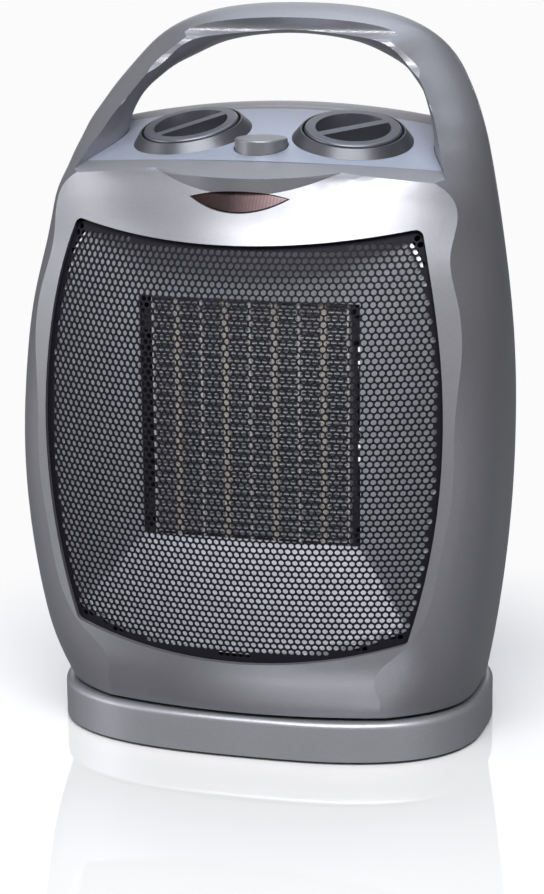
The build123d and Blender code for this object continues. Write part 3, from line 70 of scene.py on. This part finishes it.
def add(tree, kind, values=None, links=None, **settings):
    """Node with settings, socket values and incoming links."""
    node = tree.nodes.new(kind)
    for key, value in settings.items():
        setattr(node, key, value)
    for key, value in (values or {}).items():
        node.inputs[key].default_value = value
    for key, source in (links or {}).items():
        tree.links.new(source, node.inputs[key])
    return node


def math_node(tree, operation, a, b):
    """Sum, difference, product or larger of two sockets or numbers."""
    node = tree.nodes.new("ShaderNodeMath")
    node.operation = operation
    for i, value in enumerate((a, b)):
        if isinstance(value, (int, float)):
            node.inputs[i].default_value = value
        else:
            tree.links.new(value, node.inputs[i])
    return node.outputs[0]


def mix_colour(tree, factor, a, b):
    """Colour a at factor 0 and colour b at factor 1."""
    node = tree.nodes.new("ShaderNodeMix")
    node.data_type = "RGBA"
    for socket, value in ((node.inputs[0], factor), (node.inputs[6], a), (node.inputs[7], b)):
        if isinstance(value, (int, float, tuple)):
            socket.default_value = value
        else:
            tree.links.new(value, socket)
    return node.outputs[2]


FLOAT, COLOUR = "NodeSocketFloat", "NodeSocketColor"


def rgb(r, g, b):
    """Linear colour from 0-255 display values."""
    out = []
    for value in (r, g, b):
        c = value / 255
        out.append(c / 12.92 if c <= 0.04045 else ((c + 0.055) / 1.055) ** 2.4)
    return (*out, 1.0)


def metallic_paint_group():
    """Silver paint: fine flake, slow mottling and a slightly uneven lacquer."""
    group, start, end = new_group(
        "metallic_paint",
        [("Paint", COLOUR, (0.5, 0.5, 0.5, 1)), ("Flake", FLOAT, 0.1), ("Gloss Base", FLOAT, 0.35)],
        [("Color", COLOUR), ("Roughness", FLOAT), ("Height", FLOAT)])
    where = add(group, "ShaderNodeTexCoord").outputs["Object"]
    flake = add(group, "ShaderNodeTexVoronoi", {"Scale": 5200.0}, {"Vector": where})
    cloud = add(group, "ShaderNodeTexNoise", {"Scale": 34.0, "Detail": 4.0}, {"Vector": where})
    peel = add(group, "ShaderNodeTexNoise", {"Scale": 620.0, "Detail": 2.0}, {"Vector": where})
    spark = add(group, "ShaderNodeSeparateColor", links={0: flake.outputs["Color"]}).outputs[0]
    spread = math_node(group, "MULTIPLY", math_node(group, "SUBTRACT", spark, 0.5), start.outputs["Flake"])
    mottle = math_node(group, "MULTIPLY", math_node(group, "SUBTRACT", cloud.outputs[0], 0.5), 0.05)
    gain = math_node(group, "ADD", math_node(group, "ADD", spread, mottle), 1.0)
    tint = add(group, "ShaderNodeVectorMath", operation="SCALE")
    group.links.new(start.outputs["Paint"], tint.inputs[0])
    group.links.new(gain, tint.inputs["Scale"])
    group.links.new(tint.outputs[0], end.inputs["Color"])
    rough = math_node(group, "ADD", start.outputs["Gloss Base"], math_node(group, "MULTIPLY", spread, 0.3))
    rough = math_node(group, "ADD", rough, mottle)
    group.links.new(rough, end.inputs["Roughness"])
    group.links.new(peel.outputs[0], end.inputs["Height"])
    return group


def moulded_group():
    """Moulded plastic: fine spark-eroded texture with soft dust."""
    group, start, end = new_group(
        "moulded_surface",
        [("Base", COLOUR, (0.05, 0.05, 0.05, 1)), ("Grain Size", FLOAT, 900.0),
         ("Rough Base", FLOAT, 0.55), ("Dust", FLOAT, 0.1)],
        [("Color", COLOUR), ("Roughness", FLOAT), ("Height", FLOAT)])
    where = add(group, "ShaderNodeTexCoord").outputs["Object"]
    grain = add(group, "ShaderNodeTexNoise", {"Detail": 3.0},
                {"Vector": where, "Scale": start.outputs["Grain Size"]})
    film = add(group, "ShaderNodeTexNoise", {"Scale": 60.0, "Detail": 5.0}, {"Vector": where})
    amount = math_node(group, "MULTIPLY", film.outputs[0], start.outputs["Dust"])
    colour = mix_colour(group, amount, start.outputs["Base"], rgb(170, 168, 164))
    group.links.new(colour, end.inputs["Color"])
    rough = math_node(group, "ADD", start.outputs["Rough Base"],
                      math_node(group, "MULTIPLY", grain.outputs[0], 0.18))
    group.links.new(rough, end.inputs["Roughness"])
    group.links.new(grain.outputs[0], end.inputs["Height"])
    return group


def drawn_metal_group():
    """Rolled or turned metal: directional streaks and faint stains."""
    group, start, end = new_group(
        "drawn_metal",
        [("Base", COLOUR, (0.7, 0.7, 0.7, 1)), ("Streak X", FLOAT, 20.0), ("Streak Y", FLOAT, 20.0),
         ("Streak Z", FLOAT, 900.0), ("Rough Base", FLOAT, 0.25), ("Stain", FLOAT, 0.2)],
        [("Color", COLOUR), ("Roughness", FLOAT), ("Height", FLOAT)])
    where = add(group, "ShaderNodeTexCoord").outputs["Object"]
    scale = add(group, "ShaderNodeCombineXYZ", links={
        0: start.outputs["Streak X"], 1: start.outputs["Streak Y"], 2: start.outputs["Streak Z"]})
    drawn = add(group, "ShaderNodeVectorMath", links={0: where, 1: scale.outputs[0]}, operation="MULTIPLY")
    streak = add(group, "ShaderNodeTexNoise", {"Scale": 1.0, "Detail": 4.0}, {"Vector": drawn.outputs[0]})
    stain = add(group, "ShaderNodeTexNoise", {"Scale": 45.0, "Detail": 5.0}, {"Vector": where})
    dark = math_node(group, "MULTIPLY", stain.outputs[0], start.outputs["Stain"])
    colour = mix_colour(group, dark, start.outputs["Base"], rgb(90, 88, 86))
    group.links.new(colour, end.inputs["Color"])
    rough = math_node(group, "ADD", start.outputs["Rough Base"],
                      math_node(group, "MULTIPLY", math_node(group, "SUBTRACT", streak.outputs[0], 0.5), 0.3))
    rough = math_node(group, "ADD", rough, math_node(group, "MULTIPLY", dark, 0.4))
    group.links.new(rough, end.inputs["Roughness"])
    group.links.new(streak.outputs[0], end.inputs["Height"])
    return group


PAINT = metallic_paint_group()
MOULDED = moulded_group()
DRAWN = drawn_metal_group()


def material(name, group, values, bump, bump_distance, **principled):
    """Principled material fed by one effect group."""
    made = bpy.data.materials.new(name)
    made.use_nodes = True
    tree = made.node_tree
    tree.nodes.clear()
    out = tree.nodes.new("ShaderNodeOutputMaterial")
    shader = tree.nodes.new("ShaderNodeBsdfPrincipled")
    tree.links.new(shader.outputs[0], out.inputs[0])
    effect = tree.nodes.new("ShaderNodeGroup")
    effect.node_tree = group
    for key, value in values.items():
        effect.inputs[key].default_value = value
    tree.links.new(effect.outputs["Color"], shader.inputs["Base Color"])
    tree.links.new(effect.outputs["Roughness"], shader.inputs["Roughness"])
    relief = add(tree, "ShaderNodeBump", {"Strength": bump, "Distance": bump_distance},
                 {"Height": effect.outputs["Height"]})
    tree.links.new(relief.outputs[0], shader.inputs["Normal"])
    for key, value in principled.items():
        shader.inputs[key.replace("_", " ")].default_value = value
    return made


def paint(name, colour, metallic=0.7, rough=0.42, flake=0.16, coat=0.1):
    return material(name, PAINT, {"Paint": colour, "Flake": flake, "Gloss Base": rough}, 0.06, 0.0004,
                    Metallic=metallic, Coat_Weight=coat, Coat_Roughness=0.18)


def plastic(name, colour, rough=0.5, dust=0.06, grain=900.0, bump=0.12, **more):
    return material(name, MOULDED, {"Base": colour, "Grain Size": grain, "Rough Base": rough, "Dust": dust},
                    bump, 0.0003, **more)


def metal(name, colour, streak=(20.0, 20.0, 900.0), rough=0.25, stain=0.15, bump=0.05, **more):
    values = {"Base": colour, "Streak X": streak[0], "Streak Y": streak[1], "Streak Z": streak[2],
              "Rough Base": rough, "Stain": stain}
    return material(name, DRAWN, values, bump, 0.0002, **{"Metallic": 1.0, **more})


body_paint = paint("body_silver", rgb(142, 142, 148))
# painted light: the panel's silver is lighter and bluer than the body's, standing in for the bluish light
# falling on its upward face
panel_paint = paint("panel_silver_painted_top_light", rgb(160, 166, 182), metallic=0.6)
ring_paint = paint("ring_silver", rgb(84, 85, 91), rough=0.4)
knob_paint = paint("knob_silver", rgb(100, 102, 110), rough=0.36)
button_paint = paint("button_silver", rgb(130, 131, 135), rough=0.45)
# painted light: the base's silver is lighter than the body's, standing in for light that falls on the base
# front
base_paint_with_painted_light = paint("base_silver_painted_light", rgb(158, 159, 165), metallic=0.6)
mesh_enamel = plastic("mesh_enamel", rgb(14, 12, 24), rough=0.6, dust=0.0, grain=2200.0,
                      Specular_IOR_Level=0.25)
reflector_metal = metal("reflector_sheet", rgb(228, 229, 238), streak=(14.0, 500.0, 500.0), rough=0.36,
                        stain=0.03, Metallic=0.3)


def lens_material():
    """Dark red lens with painted shade in upright prism bands and a painted highlight that pales its right
    half.
    """
    values = {"Base": rgb(34, 12, 14), "Grain Size": 500.0, "Rough Base": 0.1, "Dust": 0.0}
    made = material("red_lens", MOULDED, values, 0.03, 0.0003, Coat_Weight=0.9, Coat_Roughness=0.06)
    tree = made.node_tree
    shader = next(node for node in tree.nodes if node.type == "BSDF_PRINCIPLED")
    effect = next(node for node in tree.nodes if node.type == "GROUP")
    where = add(tree, "ShaderNodeTexCoord").outputs["Object"]
    across = add(tree, "ShaderNodeSeparateXYZ", links={0: where}).outputs[0]
    # painted highlight: the red turns pale pink towards the lens's right side, where the light is reflected
    painted_highlight = add(tree, "ShaderNodeMapRange", {"From Min": -4 * MM, "From Max": 14 * MM, "To Max": 0.55},
               {"Value": across})
    prisms = add(tree, "ShaderNodeTexWave", {"Scale": 260.0, "Distortion": 0.4}, {"Vector": where})
    tone = mix_colour(tree, painted_highlight.outputs[0], effect.outputs["Color"], rgb(176, 140, 145))
    # painted shade: upright bands of the prisms darken the red towards near black
    painted_prism_shade = math_node(tree, "MULTIPLY", prisms.outputs[1], 0.3)
    tree.links.new(mix_colour(tree, painted_prism_shade, tone, rgb(18, 8, 10)), shader.inputs["Base Color"])
    return made


red_lens = lens_material()
nylon = plastic("natural_nylon", rgb(214, 211, 202), rough=0.5, dust=0.1)
dark_nylon = plastic("dark_nylon", rgb(52, 50, 49), rough=0.6, dust=0.1)
ceramic = plastic("ptc_ceramic", rgb(214, 209, 196), rough=0.7, dust=0.3, grain=1500.0)
fin_metal = metal("fin_aluminium", rgb(232, 233, 236), streak=(400.0, 30.0, 400.0), rough=0.5, stain=0.04,
                  Metallic=0.15)
strip_metal = metal("contact_strip", rgb(244, 244, 242), rough=0.4, Metallic=0.1)
black_plastic = plastic("black_moulding", rgb(38, 38, 40), rough=0.55, dust=0.12)
rubber = plastic("foot_rubber", rgb(30, 30, 31), rough=0.75, dust=0.2, grain=600.0)
zinc = metal("zinc_plate", rgb(190, 192, 194), rough=0.28, stain=0.2)
steel = metal("bright_steel", rgb(198, 199, 201), rough=0.22, stain=0.1)
bronze = metal("sintered_bronze", rgb(168, 120, 74), rough=0.45, stain=0.4)
iron = metal("stator_iron", rgb(120, 122, 126), streak=(30.0, 1400.0, 30.0), rough=0.4, stain=0.4)
lamp_glass = plastic("lamp_glass", rgb(236, 210, 190), rough=0.08, dust=0.0, grain=300.0, bump=0.02)

SLOT_MATERIALS = {
    "silver_paint": body_paint, "panel_paint": panel_paint, "ring_paint": ring_paint,
    "knob_paint": knob_paint, "button_paint": button_paint, "red_lens": red_lens,
    "black_mesh": mesh_enamel, "bright_sheet": reflector_metal, "white_nylon": nylon,
    "ptc_ceramic": ceramic, "fin_aluminium": fin_metal, "strip_brass": strip_metal,
    "cutout_steel": zinc, "fuse_steel": steel, "black_plastic": black_plastic,
    "foot_rubber": rubber, "motor_steel": zinc, "lamp_glass": lamp_glass, "bronze": bronze,
    "stator_iron": iron, "bright_steel": steel,
}
node_slots = {part["node"]: part["material_slot"] for part in frame["record"]["subparts"]}
for node_name, cad_object in nodes.items():
    cad_object.data.materials.clear()
    cad_object.data.materials.append(SLOT_MATERIALS[node_slots[node_name]])
# the base shell gets the silver with painted light
nodes["base_shell"].data.materials[0] = base_paint_with_painted_light
for node_name in ("heater_frame", "core_spacers"):
    nodes[node_name].data.materials[0] = dark_nylon


WELD_GAP = 0.004 * MM
CREASE = 32.0               # degrees between faces, above which an edge stays crisp
CASING_CREASE = 7.0


def smooth_surface(cad_object, crease_degrees):
    """Rounded surfaces shade as one, and edges stay crisp."""
    for polygon in cad_object.data.polygons:
        polygon.use_smooth = True
    weld = cad_object.modifiers.new("weld", "WELD")
    weld.merge_threshold = WELD_GAP
    crease = cad_object.modifiers.new("crease", "EDGE_SPLIT")
    crease.split_angle = math.radians(crease_degrees)
    crease.use_edge_sharp = False


for node_name, cad_object in nodes.items():
    smooth_surface(cad_object, CASING_CREASE if node_name in ("front_shell", "rear_shell") else CREASE)


# ---------------------------------------------------------------- perforated grille
HOLE_PITCH = 2.5 * MM
HOLE_RADIUS = 1.0 * MM
HOLE_SIDES = 12
SHEET = 0.6 * MM
PLAIN_BORDER = 4.0 * MM     # width of the sheet's edge without holes
PROBE = 1.25 * MM           # spacing of the rays that feel out the CAD sheet
PROBE_RUN_UP = 50 * MM      # how far in front of the sheet each ray starts
ACROSS_POWERS = 5           # terms of the fitted surface, even powers across the sheet
UPWARD_POWERS = 8           # and powers up the sheet


class GrilleSheet:
    """Front surface and outline of the CAD grille, smoothed over its plain openings."""

    def __init__(self):
        mesh = nodes["front_grille"].data
        self.tree = BVHTree.FromPolygons([v.co for v in mesh.vertices], [p.vertices for p in mesh.polygons])
        self.low, self.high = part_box("front_grille")
        self.middle_z = (self.low.z + self.high.z) / 2
        self.half_x = self.high.x
        self.half_z = self.high.z - self.middle_z
        columns = int(self.half_x / PROBE)
        rows = int(self.half_z / PROBE)
        self.reach_x = {}
        self.reach_z = {}
        points = []
        for i in range(-columns, columns + 1):
            for j in range(-rows, rows + 1):
                y = self.feel(i * PROBE, self.middle_z + j * PROBE)
                if y is not None:
                    points.append((i * PROBE, self.middle_z + j * PROBE, y))
                    self.reach_x[j] = max(self.reach_x.get(j, 0), abs(i))
                    low, high = self.reach_z.get(i, (j, j))
                    self.reach_z[i] = (min(low, j), max(high, j))
        powers = np.array([self.powers(x, z) for x, z, _ in points])
        self.weights = np.linalg.lstsq(powers, np.array([y for _, _, y in points]), rcond=None)[0]

    def feel(self, x, z):
        """Where a ray from the front meets the CAD sheet, or None in an opening."""
        hit = self.tree.ray_cast(Vector((x, self.low.y - PROBE_RUN_UP, z)), Vector((0, 1, 0)))[0]
        return None if hit is None else hit.y

    def powers(self, x, z):
        u, v = (x / self.half_x) ** 2, (z - self.middle_z) / self.half_z
        return [u ** a * v ** b for a in range(ACROSS_POWERS) for b in range(UPWARD_POWERS)]

    def front_y(self, x, z):
        return float(np.dot(self.powers(x, z), self.weights))

    def covers(self, x, z, margin=0.0):
        """Whether a place lies inside the outline by at least a margin."""
        for step in range(8):
            step_x = margin * math.cos(math.pi * step / 4)
            step_z = margin * math.sin(math.pi * step / 4)
            i, j = round((x + step_x) / PROBE), round((z + step_z - self.middle_z) / PROBE)
            if i not in self.reach_z or j not in self.reach_x:
                return False
            if abs(i) > self.reach_x[j] or not self.reach_z[i][0] <= j <= self.reach_z[i][1]:
                return False
        return True


def perforated_grille():
    """Hexagonal cells, each with a round hole, laid on the front of the grille sheet."""
    sheet = GrilleSheet()
    mesh = bmesh.new()
    corner_side = HOLE_PITCH / math.sqrt(3)
    row_step = HOLE_PITCH * math.sqrt(3) / 2
    corners = {}

    def corner(x, z):
        key = (round(x / corner_side * 4), round(z / corner_side * 4))
        if key not in corners:
            corners[key] = mesh.verts.new((x, sheet.front_y(x, z), z))
        return corners[key]

    rows = int((sheet.high.z - sheet.low.z) / row_step) + 2
    columns = int((sheet.high.x - sheet.low.x) / HOLE_PITCH) + 2
    for row in range(rows):
        z = sheet.low.z + row * row_step
        for column in range(columns):
            x = (column - columns // 2 + 0.5 * (row % 2)) * HOLE_PITCH
            if not sheet.covers(x, z):
                continue
            hexagon = []
            for i in range(6):
                angle = math.pi / 6 + math.pi * i / 3
                hexagon.append(corner(x + corner_side * math.cos(angle), z + corner_side * math.sin(angle)))
            if not sheet.covers(x, z, PLAIN_BORDER):
                mesh.faces.new(hexagon)
                continue
            rim = []
            for i in range(HOLE_SIDES):
                angle = 2 * math.pi * (i + 0.5) / HOLE_SIDES
                px = x + HOLE_RADIUS * math.cos(angle)
                pz = z + HOLE_RADIUS * math.sin(angle)
                rim.append(mesh.verts.new((px, sheet.front_y(px, pz), pz)))
            for i in range(6):
                # outer corner i lies between rim points 2i and 2i + 1
                a, b, c, d = rim[2 * i], rim[2 * i + 1], rim[(2 * i + 2) % HOLE_SIDES], hexagon[i]
                mesh.faces.new((a, d, b))
                mesh.faces.new((b, d, hexagon[(i + 1) % 6], c))
    for face in mesh.faces:
        if face.normal.y > 0:
            face.normal_flip()
    data = bpy.data.meshes.new("perforated_grille")
    mesh.to_mesh(data)
    mesh.free()
    grille = bpy.data.objects.new("perforated_grille", data)
    scene.collection.objects.link(grille)
    solid = grille.modifiers.new("sheet", "SOLIDIFY")
    solid.thickness = SHEET
    solid.offset = -1.0
    data.materials.append(mesh_enamel)
    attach(grille, "housing")
    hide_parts("front_grille")


perforated_grille()


# ---------------------------------------------------------------- fins of the heating core
SLAT_PITCH = 1.4 * MM
SLAT_SHEET = 0.25 * MM
SLAT_END = 0.4 * MM         # distance of the folds from the sides of a stack
SLAT_INSET = 0.1 * MM       # distance of the sheet's edges from the front and back of a stack


def stack_boxes(cad_object):
    """Bounds of the separate solids in one CAD object, as (low, high) corner pairs."""
    mesh = bmesh.new()
    mesh.from_mesh(cad_object.data)
    bmesh.ops.remove_doubles(mesh, verts=mesh.verts, dist=WELD_GAP)
    waiting = set(mesh.verts)
    boxes = []
    while waiting:
        front = [waiting.pop()]
        places = []
        while front:
            vertex = front.pop()
            places.append(vertex.co.copy())
            for edge in vertex.link_edges:
                other = edge.other_vert(vertex)
                if other in waiting:
                    waiting.remove(other)
                    front.append(other)
        low = [min(place[axis] for place in places) for axis in range(3)]
        high = [max(place[axis] for place in places) for axis in range(3)]
        boxes.append((low, high))
    mesh.free()
    return boxes


def folded_fins():
    """Sheet folded to and fro across each stack at the close pitch of the real strip."""
    corners, faces = [], []
    for low, high in stack_boxes(nodes["fin_stacks"]):
        left, right = low[0] + SLAT_END, high[0] - SLAT_END
        slats = int((high[2] - low[2] - 2 * SLAT_SHEET) / SLAT_PITCH)
        first = low[2] + (high[2] - low[2] - slats * SLAT_PITCH) / 2
        line = []
        for i in range(slats + 1):
            z = first + i * SLAT_PITCH
            ends = (left, right) if i % 2 == 0 else (right, left)
            line += [(ends[0], z), (ends[1], z)]
        start = len(corners)
        for x, z in line:
            corners += [(x, low[1] + SLAT_INSET, z), (x, high[1] - SLAT_INSET, z)]
        for i in range(len(line) - 1):
            a = start + 2 * i
            faces.append((a, a + 1, a + 3, a + 2))
    data = bpy.data.meshes.new("folded_fins")
    data.from_pydata(corners, [], faces)
    data.materials.append(fin_metal)
    fins = bpy.data.objects.new("folded_fins", data)
    scene.collection.objects.link(fins)
    solid = fins.modifiers.new("sheet", "SOLIDIFY")
    solid.thickness = SLAT_SHEET
    solid.offset = 0.0
    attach(fins, "housing")
    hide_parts("fin_stacks")


folded_fins()


# ---------------------------------------------------------------- studio
BACKGROUND = rgb(251, 251, 252)
SOFT_LEVEL = 0.18           # the backdrop, cards and world as sources of light
FLOOR_REACH = 6.0
FLOOR_SHINE = 0.24          # share of mirror reflection
FLOOR_WHITE_FROM = 0.11     # distance from the middle at which the floor starts to fade
FLOOR_WHITE_AT = 0.23


def quad(name, corners, made_of, to_camera=True):
    """Flat sheet of the studio from its four corners."""
    data = bpy.data.meshes.new(name)
    data.from_pydata(corners, [], [(0, 1, 2, 3)])
    data.materials.append(made_of)
    sheet = bpy.data.objects.new(name, data)
    sheet.visible_camera = to_camera
    scene.collection.objects.link(sheet)


def seen_straight(tree):
    """1 for rays from the camera and through glass, and 0 for all others."""
    path = tree.nodes.new("ShaderNodeLightPath")
    return math_node(tree, "MAXIMUM", path.outputs["Is Camera Ray"], path.outputs["Is Transmission Ray"])


def seen_sharply(tree):
    """1 for rays from the camera, from mirrors and through glass, and 0 for soft light."""
    path = tree.nodes.new("ShaderNodeLightPath")
    return math_node(tree, "MAXIMUM", seen_straight(tree), path.outputs["Is Glossy Ray"])


def floor_material():
    """Pale polished floor that turns into the white background away from the heater."""
    made = bpy.data.materials.new("studio_floor")
    made.use_nodes = True
    tree = made.node_tree
    tree.nodes.clear()
    direct = seen_straight(tree)
    tone = mix_colour(tree, seen_sharply(tree), rgb(90, 90, 92), rgb(122, 122, 124))
    tone = mix_colour(tree, direct, tone, rgb(231, 231, 232))
    matt = add(tree, "ShaderNodeBsdfDiffuse", links={"Color": tone})
    gloss = add(tree, "ShaderNodeBsdfGlossy", {"Color": rgb(250, 250, 252), "Roughness": 0.02})
    polished = add(tree, "ShaderNodeMixShader", {0: FLOOR_SHINE}, {1: matt.outputs[0], 2: gloss.outputs[0]})
    white = add(tree, "ShaderNodeEmission", {"Color": BACKGROUND, "Strength": 1.0})
    place = add(tree, "ShaderNodeNewGeometry").outputs["Position"]
    reach = add(tree, "ShaderNodeVectorMath", links={0: place}, operation="LENGTH").outputs["Value"]
    fade = add(tree, "ShaderNodeMapRange", {"From Min": FLOOR_WHITE_FROM, "From Max": FLOOR_WHITE_AT},
               {"Value": reach}, interpolation_type="SMOOTHSTEP").outputs[0]
    blend = math_node(tree, "MULTIPLY", fade, direct)
    both = add(tree, "ShaderNodeMixShader", links={0: blend, 1: polished.outputs[0], 2: white.outputs[0]})
    out = tree.nodes.new("ShaderNodeOutputMaterial")
    tree.links.new(both.outputs[0], out.inputs[0])
    return made


quad("studio_floor", [(-FLOOR_REACH, -FLOOR_REACH, 0), (FLOOR_REACH, -FLOOR_REACH, 0),
                      (FLOOR_REACH, FLOOR_REACH, 0), (-FLOOR_REACH, FLOOR_REACH, 0)], floor_material())


def area_light(name, location, target, size, power, colour=(1, 1, 1)):
    """Rectangular lamp that the camera itself does not see."""
    data = bpy.data.lights.new(name, "AREA")
    data.shape = "RECTANGLE"
    data.size, data.size_y = size
    data.energy = power
    data.color = colour
    lamp = bpy.data.objects.new(name, data)
    lamp.location = location
    lamp.rotation_euler = (Vector(target) - Vector(location)).to_track_quat("-Z", "Y").to_euler()
    lamp.visible_camera = False
    scene.collection.objects.link(lamp)


CENTRE = (0.0, 0.0, 0.13)
area_light("key_soft", (0.2, -0.95, 1.32), CENTRE, (1.4, 0.8), 36)
area_light("left_fill", (-1.15, -0.5, 0.45), CENTRE, (0.5, 0.8), 4.5)
area_light("top_soft", (-0.1, 0.5, 1.5), CENTRE, (1.2, 0.8), 8, (0.80, 0.89, 1.0))


def studio_material(name):
    """White in reflections and through glass, and dimmer as a source of light."""
    made = bpy.data.materials.new(name)
    made.use_nodes = True
    tree = made.node_tree
    tree.nodes.clear()
    level = add(tree, "ShaderNodeMapRange", {"To Min": SOFT_LEVEL, "To Max": 1.0},
                {"Value": seen_sharply(tree)})
    white = add(tree, "ShaderNodeEmission", {"Color": BACKGROUND}, {"Strength": level.outputs[0]})
    out = tree.nodes.new("ShaderNodeOutputMaterial")
    tree.links.new(white.outputs[0], out.inputs[0])
    return made


# the backdrop and the cards show only in reflections
quad("studio_backdrop", [(-1.0, 1.6, 0), (0.1, 1.6, 0), (0.1, 1.6, 1.8), (-1.0, 1.6, 1.8)],
     studio_material("studio_backdrop"), to_camera=False)
quad("studio_left_card", [(-1.2, -1.2, 0), (-1.2, 0.2, 0), (-1.2, 0.2, 1.1), (-1.2, -1.2, 1.1)],
     studio_material("studio_left_card"), to_camera=False)
quad("studio_right_card", [(1.3, -0.7, 0), (0.85, -1.25, 0), (0.85, -1.25, 0.8), (1.3, -0.7, 0.8)],
     studio_material("studio_right_card"), to_camera=False)


def studio_world():
    """White to the camera, and a soft even level of light."""
    world = bpy.data.worlds.new("studio_world")
    scene.world = world
    world.use_nodes = True
    tree = world.node_tree
    tree.nodes.clear()
    level = add(tree, "ShaderNodeMapRange", {"To Min": SOFT_LEVEL, "To Max": 1.0},
                {"Value": seen_straight(tree)})
    soft = add(tree, "ShaderNodeBackground", {"Color": BACKGROUND}, {"Strength": level.outputs[0]})
    out = tree.nodes.new("ShaderNodeOutputWorld")
    tree.links.new(soft.outputs[0], out.inputs[0])


studio_world()


# ---------------------------------------------------------------- camera
CAMERA_AZIMUTH = math.radians(15.968)
CAMERA_ELEVATION = math.radians(14.318)
CAMERA_ROLL = math.radians(-0.607)
CAMERA_DISTANCE = 0.961816
CAMERA_TARGET = Vector((0.0, -0.007007, 0.106979))
CAMERA_LENS = 102.81


def place_camera():
    """Camera turned about the heater, raised, and rolled a little about its own axis."""
    ca, sa = math.cos(CAMERA_AZIMUTH), math.sin(CAMERA_AZIMUTH)
    ce, se = math.cos(CAMERA_ELEVATION), math.sin(CAMERA_ELEVATION)
    back = Vector((sa * ce, -ca * ce, se))
    right = Vector((ca, sa, 0))
    up = back.cross(right)
    cr, sr = math.cos(CAMERA_ROLL), math.sin(CAMERA_ROLL)
    turned_right = right * cr + up * sr
    turned_up = up * cr - right * sr
    data = bpy.data.cameras.new("camera")
    data.lens = CAMERA_LENS
    data.sensor_width = 36
    camera = bpy.data.objects.new("camera", data)
    rotation = Matrix((turned_right, turned_up, back)).transposed().to_4x4()
    camera.matrix_world = Matrix.Translation(CAMERA_TARGET + back * CAMERA_DISTANCE) @ rotation
    scene.collection.objects.link(camera)
    scene.camera = camera


place_camera()
scene.view_settings.view_transform = "Standard"
